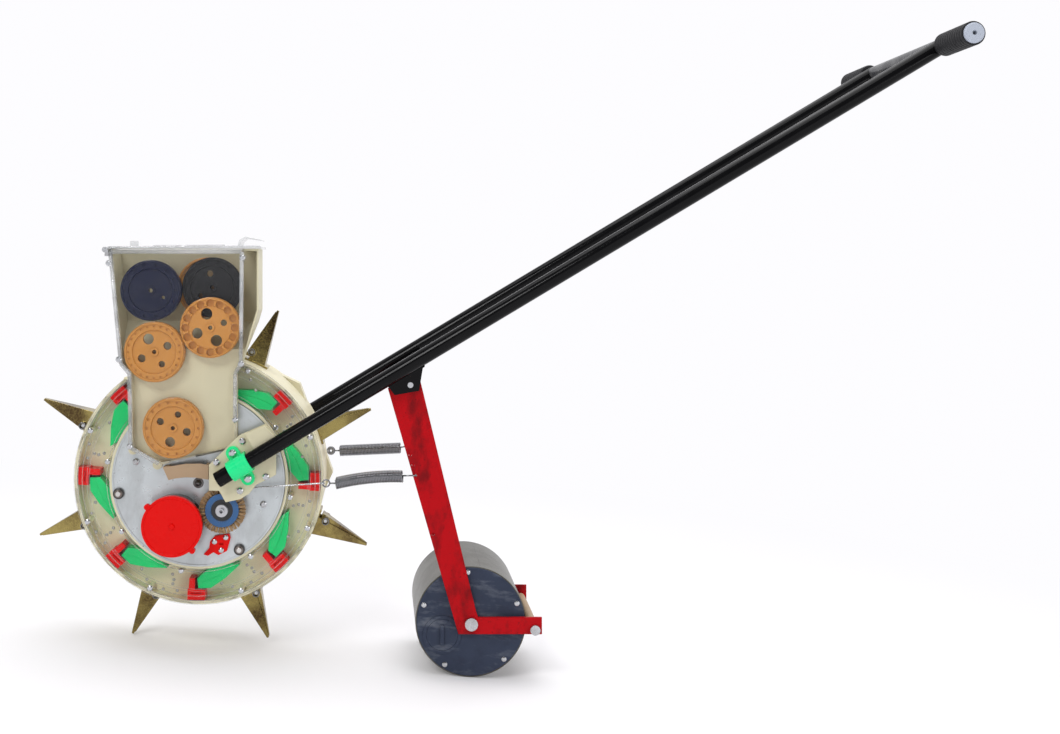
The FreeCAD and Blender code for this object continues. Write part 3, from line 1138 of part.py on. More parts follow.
axle_profile = [("0", "0"), ("axle_r", "0"), ("axle_r", "arm_z"), ("axle_nut_r", "arm_z"),
                ("axle_nut_r", "arm_z + axle_nut_h"), ("0", "arm_z + axle_nut_h")]
axle = turned("press_axle", [("0", "-arm_z - axle_nut_h"), ("axle_nut_r", "-arm_z - axle_nut_h"),
                             ("axle_nut_r", "-arm_z"), ("axle_r", "-arm_z"), ("axle_r", "arm_z"),
                             ("axle_nut_r", "arm_z"), ("axle_nut_r", "arm_z + axle_nut_h"),
                             ("0", "arm_z + axle_nut_h")])
keep("press_axle", axle, wheel_spot)

rod = turned("scraper_rod", [("0", "-arm_z - 4"), ("7", "-arm_z - 4"), ("7", "-arm_z"),
                             ("scraper_r", "-arm_z"), ("scraper_r", "arm_z"), ("7", "arm_z"),
                             ("7", "arm_z + 4"), ("0", "arm_z + 4")])
keep("scraper_rod", rod, spot(SCRAPER_X, SCRAPER_Y))
blade = new_body("scraper_blade_body")
blade_side = new_sketch(blade, "-press_half")
rectangle(blade_side, "-11", "-scraper_t / 2", "0", "scraper_t / 2")
grow(blade, "Pad", blade_side, "2 * press_half")
blade_wrap = new_sketch(blade, "-press_half")
circle(blade_wrap, "0", "0", "scraper_r + 2.5")
grow(blade, "Pad", blade_wrap, "2 * press_half")
holes(blade, [("0", "0")], "scraper_r", "press_half", "2 * press_half")
keep("scraper_blade", blade, spot(SCRAPER_X, SCRAPER_Y))

# ---------------------------------------------------------------- springs and link wires
springs = []
links = []
HOOK_HOLES = {"near": ("307", "9.5"), "far": ("303", "24")}
for name, side in (("near", 1), ("far", -1)):
    hole_x, hole_y = HOOK_HOLES[name]
    lift = size("spring_y") if side > 0 else size("spring_y") + 20
    start = Vector(size("spring_near_x"), lift - 3, side * size("spring_z"))
    end = Vector(size("spring_end_x"), size(hole_y) - 2, side * size("spring_z"))
    line = end - start
    pitch = line.Length / size("spring_turns")
    coil_r = size("spring_r")
    wire_r = size("spring_wire")
    along = Rotation(Vector(0, 0, 1), line)
    coil_spot = Placement(start, along)
    helix = Part.makeHelix(pitch, line.Length, coil_r)
    section = Part.Wire(Part.makeCircle(wire_r, Vector(coil_r, 0, 0), Vector(0, 1, 0)))
    coil = Part.Wire(helix).makePipeShell([section], True, True)
    coil.Placement = coil_spot
    far_end = coil_spot.multVec(Vector(coil_r, 0, line.Length))
    near_end = coil_spot.multVec(Vector(coil_r, 0, 0))
    hole = Vector(size(hole_x), size(hole_y), side * size("arm_z - arm_t / 2"))
    outside = Vector(0, 0, side * (size("arm_t") / 2 + 2))
    hook = Part.Wire(Part.makePolygon([far_end, far_end + Vector(4, 0, 0),
                                       hole - Vector(5, 0, 0) + outside, hole + outside,
                                       hole - outside]))
    hook_start = Vector(4, 0, 0)
    hook_section = Part.Wire(Part.makeCircle(wire_r, far_end, hook_start))
    hook_shape = hook.makePipeShell([hook_section], True, True, 2)
    eye_centre = start + Vector(-9, 0, 0)
    tail = Part.Wire(Part.makePolygon([near_end, near_end - Vector(3, 0, 0), eye_centre]))
    tail_section = Part.Wire(Part.makeCircle(wire_r, near_end, Vector(-1, 0, 0)))
    tail_shape = tail.makePipeShell([tail_section], True, True, 2)
    eye_r = size("spring_eye_r")
    eye = Part.makeTorus(eye_r, wire_r, eye_centre - Vector(eye_r, 0, 0), Vector(0, 0, 1))
    springs.append(feature(name + "_spring", coil.fuse([hook_shape, tail_shape, eye])))

    boss = Vector(size(BOSSES[3][0]), size(BOSSES[3][1]), side * size("bracket_z - 15"))
    loop_r = size("bracket_boss_r + link_wire") + 0.1
    loop = Part.makeTorus(loop_r, size("link_wire"), boss, Vector(0, 0, 1))
    link_eye_r = size("link_eye_r")
    link_end = eye_centre - Vector(2 * eye_r + link_eye_r, 0, 0)
    link_start = boss + Vector(loop_r, 0, 0)
    reach = link_end - link_start
    link_rod = Part.makeCylinder(size("link_wire"), reach.Length, link_start, reach)
    ring = Part.makeTorus(link_eye_r, size("link_wire"), link_end + Vector(link_eye_r, 0, 0),
                          Vector(0, 1, 0))
    links.append(feature(name + "_link_wire", loop.fuse([link_rod, ring])))
keep("press_springs", together("press_springs", springs))
keep("link_wires", together("link_wires", links))

# ---------------------------------------------------------------- check and write
doc.recompute()
for thing in doc.Objects:
    if "Invalid" in thing.State or "Error" in thing.State:
        raise RuntimeError("%s is not built: %s" % (thing.Name, thing.State))
for name, thing in pieces.items():
    shape = thing.Shape
    if shape.isNull() or not shape.isValid() or not shape.Solids:
        raise RuntimeError("%s has no valid solid" % name)
    shape.exportStep("parts/%s.step" % name)
print("wrote %d pieces" % len(pieces))
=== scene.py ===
"""Corn planter: looks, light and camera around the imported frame."""
import json
import math
import random

import bmesh
import bpy
from mathutils import Matrix, Vector


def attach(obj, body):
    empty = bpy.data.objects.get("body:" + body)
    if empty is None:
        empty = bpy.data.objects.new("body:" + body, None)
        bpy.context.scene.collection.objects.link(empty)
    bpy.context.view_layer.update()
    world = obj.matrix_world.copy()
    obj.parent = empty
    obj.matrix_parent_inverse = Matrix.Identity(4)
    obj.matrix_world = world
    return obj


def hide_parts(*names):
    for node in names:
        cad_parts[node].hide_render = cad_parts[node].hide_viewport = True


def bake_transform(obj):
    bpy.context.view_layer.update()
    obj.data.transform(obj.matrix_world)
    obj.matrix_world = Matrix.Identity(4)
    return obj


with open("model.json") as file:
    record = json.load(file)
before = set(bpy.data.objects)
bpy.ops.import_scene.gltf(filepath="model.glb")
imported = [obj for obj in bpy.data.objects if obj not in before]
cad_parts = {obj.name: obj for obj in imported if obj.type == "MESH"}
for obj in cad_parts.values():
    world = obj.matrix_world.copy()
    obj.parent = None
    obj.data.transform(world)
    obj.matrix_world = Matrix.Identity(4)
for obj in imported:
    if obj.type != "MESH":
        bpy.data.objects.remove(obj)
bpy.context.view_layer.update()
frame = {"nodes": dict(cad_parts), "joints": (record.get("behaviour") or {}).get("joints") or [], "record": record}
NODES = frame["nodes"]
RECORD = frame["record"]
JOINTS = {joint["name"]: joint for joint in frame["joints"]}
MM = 0.001

# The machine stands tilted back on its press wheel.  The side view is the frame that it
# is drawn in: x back to the grips, y up and z out to the near side, about the drum axis.
STANCE = math.radians(4.4)
DRUM_AXIS = Vector(JOINTS["drum_spin"]["pos_m"])
SIDE = Matrix((
    (math.cos(STANCE), -math.sin(STANCE), 0),
    (0, 0, -1),
    (math.sin(STANCE), math.cos(STANCE), 0)))


def at(x, y, z):
    """A world point from millimetres in the side view."""
    return DRUM_AXIS + SIDE @ (Vector((x, y, z)) * MM)


# ---------------------------------------------------------------- materials
class Paint:
    """Builds one procedural material step by step."""

    def __init__(self, name):
        self.material = bpy.data.materials.new(name)
        self.material.use_nodes = True
        self.tree = self.material.node_tree
        self.shader = self.tree.nodes["Principled BSDF"]
        self.coords = self.add("ShaderNodeTexCoord").outputs["Object"]

    def add(self, kind, **fields):
        node = self.tree.nodes.new(kind)
        for field, value in fields.items():
            setattr(node, field, value)
        return node

    def link(self, source, target):
        self.tree.links.new(source, target)

    def coords_x(self):
        split = self.add("ShaderNodeSeparateXYZ")
        self.link(self.coords, split.inputs[0])
        return split.outputs["X"]

    def stretched(self, scale):
        mapping = self.add("ShaderNodeMapping")
        mapping.inputs["Scale"].default_value = scale
        self.link(self.coords, mapping.inputs["Vector"])
        return mapping.outputs["Vector"]

    def noise(self, scale, detail=4.0, rough=0.55, coords=None):
        node = self.add("ShaderNodeTexNoise")
        node.inputs["Scale"].default_value = scale
        node.inputs["Detail"].default_value = detail
        node.inputs["Roughness"].default_value = rough
        self.link(coords or self.coords, node.inputs["Vector"])
        return node.outputs["Fac"]

    def ramp(self, value, low, high, floor=0.0, top=1.0):
        node = self.add("ShaderNodeMapRange")
        for name, number in (("From Min", low), ("From Max", high),
                             ("To Min", floor), ("To Max", top)):
            node.inputs[name].default_value = number
        self.link(value, node.inputs["Value"])
        return node.outputs["Result"]

    def mix(self, factor, first, second):
        node = self.add("ShaderNodeMix", data_type="RGBA")
        self.link(factor, node.inputs["Factor"])
        for slot, value in ((node.inputs[6], first), (node.inputs[7], second)):
            if isinstance(value, bpy.types.NodeSocket):
                self.link(value, slot)
            else:
                slot.default_value = (*value, 1.0)
        return node.outputs[2]

    def edges(self, radius):
        """A rounded normal and a mask that is bright along sharp edges."""
        bevel = self.add("ShaderNodeBevel", samples=4)
        bevel.inputs["Radius"].default_value = radius
        geometry = self.add("ShaderNodeNewGeometry")
        dot = self.add("ShaderNodeVectorMath", operation="DOT_PRODUCT")
        self.link(bevel.outputs["Normal"], dot.inputs[0])
        self.link(geometry.outputs["Normal"], dot.inputs[1])
        return bevel.outputs["Normal"], self.ramp(dot.outputs["Value"], 0.985, 0.80)

    def bump(self, height, strength, distance, normal=None):
        node = self.add("ShaderNodeBump")
        node.inputs["Strength"].default_value = strength
        node.inputs["Distance"].default_value = distance
        self.link(height, node.inputs["Height"])
        if normal is not None:
            self.link(normal, node.inputs["Normal"])
        return node.outputs["Normal"]

    def finish(self, colour, rough, normal):
        self.link(colour, self.shader.inputs["Base Color"])
        if isinstance(rough, bpy.types.NodeSocket):
            self.link(rough, self.shader.inputs["Roughness"])
        else:
            self.shader.inputs["Roughness"].default_value = rough
        self.link(normal, self.shader.inputs["Normal"])
        return self.material


def shade(colour, amount):
    return tuple(min(1.0, part * amount) for part in colour)


def moulded(name, colour, rough=0.4, mottle=0.12, grain=0.06, dirt=0.25, bevel=0.6,
            edge=1.15, coat=0.0, sheen=0.28, smear=None):
    """Injection-moulded plastic: uneven colour, fine grain, dust in patches, softened edges with a painted
    highlight along them.
    """
    paint = Paint(name)
    normal, rim = paint.edges(bevel * MM)
    tone = paint.mix(paint.noise(14, 3), shade(colour, 1 - mottle), shade(colour, 1 + mottle))
    dust = paint.ramp(paint.noise(46, 6, 0.65), 0.52, 0.78, 0, dirt)
    tone = paint.mix(dust, tone, shade(colour, 0.62))
    if smear:
        wipes = paint.noise(52, 6, 0.68, paint.stretched((0.3, 1, 1)))
        tone = paint.mix(paint.ramp(wipes, 0.50, 0.72, 0, 0.75), tone, smear)
    # painted highlight: sharp edges are lightened by the factor edge
    tone = paint.mix(paint.ramp(rim, 0, 1, 0, 0.55), tone, shade(colour, edge))
    height = paint.noise(1400, 2)
    rough_map = paint.ramp(paint.noise(90, 5), 0.3, 0.7, rough - 0.08, rough + 0.1)
    paint.shader.inputs["Coat Weight"].default_value = coat
    paint.shader.inputs["Specular IOR Level"].default_value = sheen
    return paint.finish(tone, rough_map, paint.bump(height, grain, 0.15 * MM, normal))


def painted(name, colour, worn, rough=0.22, wear=0.5, bevel=0.5, coat=0.6, metallic=0.0,
            orange_peel=0.05, gloss=0.25):
    """Gloss paint on steel: orange peel, rubbed edges and fine scratches."""
    paint = Paint(name)
    normal, rim = paint.edges(bevel * MM)
    tone = paint.mix(paint.noise(10, 3), shade(colour, 0.86), shade(colour, 1.16))
    grime = paint.noise(34, 5, 0.62, paint.stretched((1.0, 1.0, 0.45)))
    tone = paint.mix(paint.ramp(grime, 0.47, 0.64, 0, wear * 0.9), tone, worn)
    chips = paint.ramp(paint.noise(210, 6, 0.7), 0.60, 0.68, 0, wear)
    tone = paint.mix(chips, tone, worn)
    scratch = paint.noise(160, 5, 0.6, paint.stretched((1.0, 1.0, 9.0)))
    tone = paint.mix(paint.ramp(scratch, 0.62, 0.74, 0, wear * 0.5), tone, shade(worn, 0.8))
    tone = paint.mix(paint.ramp(rim, 0, 1, 0, wear), tone, worn)
    rough_map = paint.ramp(paint.noise(60, 4), 0.3, 0.7, rough - 0.05, rough + 0.12)
    paint.shader.inputs["Metallic"].default_value = metallic
    paint.shader.inputs["Specular IOR Level"].default_value = gloss
    paint.shader.inputs["Coat Weight"].default_value = coat
    paint.shader.inputs["Coat Roughness"].default_value = 0.12
    return paint.finish(tone, rough_map,
                        paint.bump(paint.noise(420, 2), orange_peel, 0.2 * MM, normal))


def metal(name, colour, stain, rough=0.3, brushed=(1.0, 1.0, 1.0), bevel=0.4, amount=0.6,
          patch=(0.48, 0.62), scale=34, metallic=1.0):
    """Bare or plated metal: brushing, stained patches and a painted highlight along the edges."""
    paint = Paint(name)
    normal, rim = paint.edges(bevel * MM) if bevel else (None, None)
    patches = paint.ramp(paint.noise(scale, 6, 0.62), patch[0], patch[1], 0, amount)
    tone = paint.mix(patches, colour, stain)
    lines = paint.noise(300, 4, 0.6, paint.stretched(brushed))
    tone = paint.mix(paint.ramp(lines, 0.35, 0.75, 0, 0.35), tone, shade(colour, 1.3))
    # painted highlight: sharp edges are lightened to 1.6 times the colour
    if rim is not None:
        tone = paint.mix(paint.ramp(rim, 0, 1, 0, 0.6), tone, shade(colour, 1.6))
    rough_map = paint.ramp(lines, 0.3, 0.7, rough - 0.08, rough + 0.14)
    paint.shader.inputs["Metallic"].default_value = metallic
    return paint.finish(tone, rough_map, paint.bump(lines, 0.08, 0.1 * MM, normal))


def clear(name, colour=(0.86, 0.88, 0.90), body=0.012, rim=0.55, rough=0.08, reflection_streaks=0.38):
    """Clear plastic: see-through face on and milky, with rub marks; its bright edges, grazing sheen, glints and
    streaky bands are painted reflections.
    """
    paint = Paint(name)
    normal, edge = paint.edges(1.1 * MM)
    # painted reflection: the face turns more opaque and milky white towards grazing angles and along sharp edges
    weight = paint.add("ShaderNodeLayerWeight")
    weight.inputs["Blend"].default_value = 0.3
    facing = paint.ramp(weight.outputs["Facing"], 0.35, 0.98, body, rim)
    marks = paint.ramp(paint.noise(120, 6, 0.7, paint.stretched((1, 1, 5))), 0.62, 0.78, 0, 0.06)
    # painted glints: scattered larger patches of higher opacity
    glints = paint.ramp(paint.noise(9, 3, 0.5, paint.stretched((1, 1, 0.35))), 0.70, 0.76, 0, 0.10)
    total = facing
    for extra, rule in ((marks, "ADD"), (glints, "ADD"),
                        (paint.ramp(edge, 0, 1, 0, 0.62), "MAXIMUM")):
        step = paint.add("ShaderNodeMath", operation=rule, use_clamp=True)
        paint.link(total, step.inputs[0])
        paint.link(extra, step.inputs[1])
        total = step.outputs[0]
    paint.link(total, paint.shader.inputs["Alpha"])
    # painted reflection streaks: stretched bands of darker tone
    bands = paint.ramp(paint.noise(24, 3, 0.5, paint.stretched((0.35, 1, 1.2))), 0.36, 0.64)
    tone = paint.mix(bands, shade(colour, 1 - reflection_streaks), colour)
    paint.shader.inputs["Coat Weight"].default_value = 1.0
    paint.shader.inputs["Coat Roughness"].default_value = 0.03
    return paint.finish(tone, rough, paint.bump(paint.noise(30, 2), 0.12, 0.4 * MM, normal))


def radial_hub(name, centre, bands):
    """Rings of different materials round an axis: (outer radius, colour, metallic)."""
    paint = Paint(name)
    normal, rim = paint.edges(0.4 * MM)
    shift = paint.add("ShaderNodeVectorMath", operation="SUBTRACT")
    paint.link(paint.coords, shift.inputs[0])
    shift.inputs[1].default_value = centre
    flat = paint.add("ShaderNodeVectorMath", operation="MULTIPLY")
    paint.link(shift.outputs["Vector"], flat.inputs[0])
    flat.inputs[1].default_value = (1, 0, 1)
    reach = paint.add("ShaderNodeVectorMath", operation="LENGTH")
    paint.link(flat.outputs["Vector"], reach.inputs[0])
    distance = reach.outputs["Value"]
    tone, metal_amount = None, None
    for outer, colour, metallic in bands:
        varied = paint.mix(paint.noise(60, 4), shade(colour, 0.8), shade(colour, 1.2))
        # a level that is the same all over this band
        level = paint.ramp(paint.coords_x(), -9, -8, metallic, metallic)
        if tone is None:
            tone, metal_amount = varied, level
            continue
        inside = paint.ramp(distance, (outer + 0.15) * MM, (outer - 0.15) * MM)
        tone = paint.mix(inside, tone, varied)
        blend = paint.add("ShaderNodeMix", data_type="FLOAT")
        paint.link(inside, blend.inputs["Factor"])
        paint.link(metal_amount, blend.inputs[2])
        paint.link(level, blend.inputs[3])
        metal_amount = blend.outputs[0]
    paint.link(metal_amount, paint.shader.inputs["Metallic"])
    # painted highlight: sharp edges blend toward a light grey on every band
    tone = paint.mix(paint.ramp(rim, 0, 1, 0, 0.5), tone, (0.5, 0.52, 0.56))
    return paint.finish(tone, 0.36, paint.bump(paint.noise(300, 3), 0.06, 0.1 * MM, normal))


CREAM = (0.63, 0.585, 0.405)
AMBER = (0.54, 0.235, 0.045)
MATERIALS = {
    "cream_nylon": moulded("cream_nylon", CREAM, 0.42, 0.07, dirt=0.22, coat=0.1),
    "clear_plastic": clear("clear_plastic"),
    "green_nylon": moulded("green_nylon", (0.006, 0.60, 0.16), 0.3, 0.16, dirt=0.25, coat=0.06,
                           sheen=0.16),
    "red_plastic": moulded("red_plastic", (0.74, 0.003, 0.002), 0.3, 0.08, dirt=0.12, coat=0.03,
                           sheen=0.1),
    "zinc_steel": metal("zinc_steel", (0.34, 0.27, 0.095), (0.055, 0.028, 0.016), 0.2,
                        (1, 6, 1), amount=0.95, patch=(0.40, 0.60), scale=13, bevel=1.0),
    "plain_steel": metal("plain_steel", (0.50, 0.51, 0.53), (0.30, 0.29, 0.28), 0.22),
    "dark_steel": metal("dark_steel", (0.15, 0.145, 0.14), (0.07, 0.06, 0.05), 0.36),
    "black_paint": painted("black_paint", (0.0035, 0.0035, 0.004), (0.016, 0.016, 0.017), 0.10,
                           wear=0.10, coat=0.06, gloss=0.10),
    "grey_tube": painted("grey_tube", (0.045, 0.046, 0.05), (0.14, 0.14, 0.14), 0.35, coat=0.3),
    "red_paint": painted("red_paint", (0.46, 0.002, 0.006), (0.085, 0.004, 0.006), 0.4,
                         wear=0.75, coat=0.03, gloss=0.08, bevel=0.8),
    "white_plate": painted("white_plate", (0.54, 0.575, 0.59), (0.30, 0.31, 0.31), 0.3,
                           wear=0.4, coat=0.2, metallic=0.7),
    "black_rubber": moulded("black_rubber", (0.016, 0.016, 0.018), 0.62, 0.2, grain=0.3,
                            edge=1.8),
    "grey_plug": moulded("grey_plug", (0.42, 0.46, 0.54), 0.4, 0.1),
    "galvanised": metal("galvanised", (0.115, 0.11, 0.094), (0.05, 0.043, 0.03), 0.32,
                        (1, 14, 1), amount=0.8, scale=16, metallic=0.85),
    "blue_black_plastic": moulded("blue_black_plastic", (0.034, 0.044, 0.074), 0.5, 0.3,
                                  dirt=0.6, edge=1.6, sheen=0.14, smear=(0.15, 0.165, 0.20)),
    "navy_plastic": moulded("navy_plastic", (0.007, 0.010, 0.034), 0.34, 0.3, dirt=0.2,
                            edge=3.0, coat=0.12, sheen=0.16),
    "black_plastic": moulded("black_plastic", (0.014, 0.014, 0.016), 0.42, 0.25, edge=2.2,
                             sheen=0.16),
    "amber_plastic": moulded("amber_plastic", AMBER, 0.36, 0.1, dirt=0.3, coat=0.15, edge=1.35),
    "blue_plastic": moulded("blue_plastic", (0.022, 0.10, 0.26), 0.4, 0.15, dirt=0.3),
    "tan_bristle": moulded("tan_bristle", (0.42, 0.27, 0.14), 0.75, 0.35, dirt=0.5),
    "tan_plastic": moulded("tan_plastic", (0.40, 0.28, 0.175), 0.5, 0.14, dirt=0.3),
}
# finishes for the fine pieces added here
def wire(name, colour, dull, rough):
    """Drawn wire: only a slow change of tone, so that fine coils stay clean."""
    paint = Paint(name)
    tone = paint.mix(paint.noise(26, 3), colour, dull)
    paint.link(tone, paint.shader.inputs["Base Color"])
    paint.link(paint.ramp(paint.noise(40, 2), 0.3, 0.7, rough - 0.05, rough + 0.08),
               paint.shader.inputs["Roughness"])
    paint.shader.inputs["Metallic"].default_value = 0.9
    return paint.material


MATERIALS["spring_wire"] = wire("spring_wire", (0.31, 0.31, 0.33), (0.17, 0.17, 0.18), 0.2)
MATERIALS["rivet_steel"] = wire("rivet_steel", (0.44, 0.435, 0.40), (0.27, 0.26, 0.23), 0.32)
MATERIALS["drum_cream"] = moulded("drum_cream", (0.76, 0.71, 0.50), 0.45, 0.06, dirt=0.2,
                                  coat=0.05)
# more opaque clear finishes for the beads, lid and ridges, with stronger painted reflection streaks
MATERIALS["clear_edge"] = clear("clear_edge", (0.80, 0.82, 0.84), 0.42, 0.9, 0.1, 0.62)
MATERIALS["clear_lid"] = clear("clear_lid", (0.74, 0.76, 0.78), 0.30, 0.85, 0.12, 0.72)
MATERIALS["clear_ridge"] = clear("clear_ridge", (0.70, 0.70, 0.66), 0.30, 0.62, 0.1, 0.35)
NODE_SLOT = {row["node"]: row["material_slot"] for row in RECORD["subparts"]}
for node_name, node in NODES.items():
    node.data.materials.clear()
    node.data.materials.append(MATERIALS[NODE_SLOT[node_name]])
NODES["hopper_lid"].data.materials[0] = MATERIALS["clear_lid"]
NODES["filler_cap"].data.materials[0] = MATERIALS["blue_black_plastic"]
NODES["drum_shell"].data.materials[0] = MATERIALS["drum_cream"]


# ---------------------------------------------------------------- pieces
def piece(name, mesh_maker, slot, body, smooth=True, look=None):
    """A new piece from a bmesh filled by mesh_maker, riding on a body if one is named."""
    mesh = bpy.data.meshes.new(name)
    bm = bmesh.new()
    mesh_maker(bm)
    bmesh.ops.recalc_face_normals(bm, faces=bm.faces)
    bm.to_mesh(mesh)
    bm.free()
    for polygon in mesh.polygons:
        polygon.use_smooth = smooth
    mesh.materials.append(MATERIALS[look or slot])
    thing = bpy.data.objects.new(name, mesh)
    bpy.context.scene.collection.objects.link(thing)
    if body:
        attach(thing, body)
    return thing


def join_rings(bm, low, high):
    """A band of faces between two rings of as many vertices."""
    for side in range(len(low)):
        after = (side + 1) % len(low)
        bm.faces.new((low[side], low[after], high[after], high[side]))


def rod(bm, start, end, radius, tip=None, sides=8):
    """A round rod from one world point to another."""
    axis = end - start
    turn = Vector((0, 0, 1)).rotation_difference(axis).to_matrix().to_4x4()
    place = Matrix.Translation((start + end) / 2) @ turn
    bmesh.ops.create_cone(bm, cap_ends=True, segments=sides, radius1=radius,
                          radius2=radius if tip is None else tip, depth=axis.length,
                          matrix=place)


# brush: tufts of separate bristles set round the blue core
BRUSH = JOINTS["brush_spin"]["pos_m"]
BRUSH_LOCAL = SIDE.transposed() @ (Vector(BRUSH) - DRUM_AXIS) / MM
rng = random.Random(12)


def fill_brush(bm):
    core, reach = 22.5, 33.2
    tufts = 34
    for tuft in range(tufts):
        middle = 360 * tuft / tufts
        for hair in range(26):
            angle = math.radians(middle + rng.uniform(-3.1, 3.1))
            depth = 89 + rng.uniform(-3.6, 3.6)
            lean = math.radians(rng.uniform(-2.5, 2.5))
            length = reach - rng.uniform(0, 1.4)
            cx, cy = BRUSH_LOCAL.x, BRUSH_LOCAL.y
            start = at(cx + core * math.cos(angle), cy + core * math.sin(angle), depth)
            end = at(cx + length * math.cos(angle + lean), cy + length * math.sin(angle + lean),
                     depth + rng.uniform(-0.5, 0.5))
            rod(bm, start, end, 0.55 * MM, 0.4 * MM, 5)


bristles = piece("bristle_tufts", fill_brush, "tan_bristle", "brush")
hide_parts("brush_bristles")
NODES["brush_hub"].data.materials[0] = radial_hub("brush_hub_rings", BRUSH, (
    (40, (0.022, 0.10, 0.26), 0.0), (15.2, (0.014, 0.014, 0.016), 0.0),
    (8.6, (0.50, 0.50, 0.52), 1.0)))


STATIONS = 8
STATION_STEP = 360 / STATIONS
FIRST_STATION = -2
COVER_FACE = 69
PLATE_FACE = 73
WINDOW_EDGE = 96.4


def polar(radius, angle):
    turn = math.radians(angle)
    return radius * math.cos(turn), radius * math.sin(turn)


def dome(bm, x, y, z, radius, height, sides=10):
    """A low round head on a face that looks out to the near side."""
    rings = []
    for level, share in ((0.0, 1.0), (0.45, 0.94), (0.8, 0.68), (1.0, 0.28)):
        ring = []
        for side in range(sides):
            dx, dy = polar(radius * share, 360 * side / sides)
            ring.append(bm.verts.new(at(x + dx, y + dy, z + height * level)))
        rings.append(ring)
    for low, high in zip(rings, rings[1:]):
        join_rings(bm, low, high)
    bm.faces.new(rings[-1])
    bm.faces.new(rings[0])


def helix(bm, start, end, radius, wire, turns, steps=14, sides=6, bow=0.0):
    """A closed tube wound round the line between two side-view points, bowed up by bow."""
    a, b = Vector(start), Vector(end)
    along = (b - a).normalized()
    out = along.orthogonal().normalized()
    across = along.cross(out)
    rings = []
    total = int(turns * steps)
    for index in range(total + 1):
        share = index / total
        angle = 2 * math.pi * turns * share
        centre = a + (b - a) * share + Vector((0, 4 * bow * share * (1 - share), 0))
        away = out * math.cos(angle) + across * math.sin(angle)
        middle = centre + away * radius
        ring = []
        for side in range(sides):
            roll = 2 * math.pi * side / sides
            point = middle + (away * math.cos(roll) + along * math.sin(roll)) * wire
            ring.append(bm.verts.new(at(*point)))
        rings.append(ring)
    for low, high in zip(rings, rings[1:]):
        join_rings(bm, low, high)
    bm.faces.new(rings[0])
    bm.faces.new(rings[-1])


def torus(bm, centre, radius, wire, steps=20, sides=8):
    """A ring that faces the near side."""
    rings = []
    for step in range(steps):
        out_x, out_y = polar(1, 360 * step / steps)
        ring = []
        for side in range(sides):
            roll = 2 * math.pi * side / sides
            reach = radius + wire * math.cos(roll)
            ring.append(bm.verts.new(at(centre[0] + out_x * reach, centre[1] + out_y * reach,
                                        centre[2] + wire * math.sin(roll))))
        rings.append(ring)
    for index, low in enumerate(rings):
        high = rings[(index + 1) % steps]
        join_rings(bm, low, high)


# clear rivet heads and moulded pips on the drum cover, in the same places at each station
PIPS = ((150, 14.5), (159, 19.5), (139, 31.5), (152, 33), (163, 29), (146, -12), (160, -9))


def fill_pips(bm):
    for station in range(STATIONS):
        for radius, lag in PIPS:
            x, y = polar(radius, FIRST_STATION + STATION_STEP * station + lag)
            dome(bm, x, y, COVER_FACE, 2.4, 1.1, 14)


piece("cover_pips", fill_pips, "plain_steel", "drum", look="rivet_steel")


# the torsion springs that close the beaks, on the near end of each pin
def fill_beak_springs(bm):
    for station in range(STATIONS):
        lead = FIRST_STATION + STATION_STEP * station + 22.8
        x, y = polar(190, lead)
        side_x, side_y = polar(9, lead + 90)
        middle = (x + side_x, y + side_y)
        helix(bm, (*middle, 16.9), (*middle, 21.4), 4.6, 0.8, 5)


piece("beak_springs", fill_beak_springs, "dark_steel", "drum", look="spring_wire")

# the near ends of two guide rollers: rubber ring, washer and nut
for number in (1, 2):
    NODES["guide_roller_%d" % number].data.materials[0] = radial_hub(
        "roller_end_%d" % number, JOINTS["roller_%d_spin" % number]["pos_m"],
        ((20, (0.030, 0.028, 0.027), 0.0), (5.6, (0.22, 0.19, 0.17), 1.0),
         (3.4, (0.62, 0.60, 0.58), 1.0)))
NODES["tube_clamps"].data.materials[0] = moulded("clamp_green", (0.008, 0.78, 0.26), 0.3, 0.1,
                                                 dirt=0.1, coat=0.15)

# rounded clear beads that stiffen the edges of the hopper window
BEADS = (((-119.5, 322), (-104.5, 166)), ((-104.5, 166), (-92.5, 152)), ((-92.5, 152), (-91, 49)),
         ((-91, 49), (-52, 27)), ((64, 322), (62.5, 167)), ((62.5, 167), (54.5, 152)),
         ((54.5, 152), (54.5, 92)), ((-119.5, 322), (64, 322)))


def fill_beads(bm):
    for start, end in BEADS:
        rod(bm, at(*start, WINDOW_EDGE), at(*end, WINDOW_EDGE), 2.9 * MM, sides=20)


piece("window_beads", fill_beads, "clear_plastic", "frame", look="clear_edge")


def slab(bm, points, low, high):
    """A flat plate with a side-view outline between two depths."""
    near = [bm.verts.new(at(x, y, high)) for x, y in points]
    far = [bm.verts.new(at(x, y, low)) for x, y in points]
    bm.faces.new(near)
    bm.faces.new(far[::-1])
    for index in range(len(points)):
        after = (index + 1) % len(points)
        bm.faces.new((near[index], far[index], far[after], near[after]))


# the lid's latch tab, and the beads along the lid's near edge and over its top
def fill_latch(bm):
    slab(bm, ((58, 329.8), (60, 338), (68, 343), (91, 338.6), (91, 337), (69, 340.6), (63, 336.6),
              (61.5, 329.8)), 52, 95)
    rod(bm, at(-120, 328.2, 97.2), at(90, 329.6, 97.2), 1.5 * MM, sides=12)
    rod(bm, at(-60, 330.4, 93), at(40, 331.2, 93), 1.0 * MM, sides=12)


piece("lid_latch", fill_latch, "clear_plastic", "lid", smooth=False, look="clear_lid")

# fine ridges moulded round the clear cover
RIDGES = ((171.5, 0.9), (165, 0.55), (130.5, 0.6), (126.5, 0.8))


def fill_ridges(bm):
    for radius, thickness in RIDGES:
        torus(bm, (0, 0, COVER_FACE + 0.2), radius, thickness, 180, 6)


piece("cover_ridges", fill_ridges, "clear_plastic", "drum", look="clear_ridge")


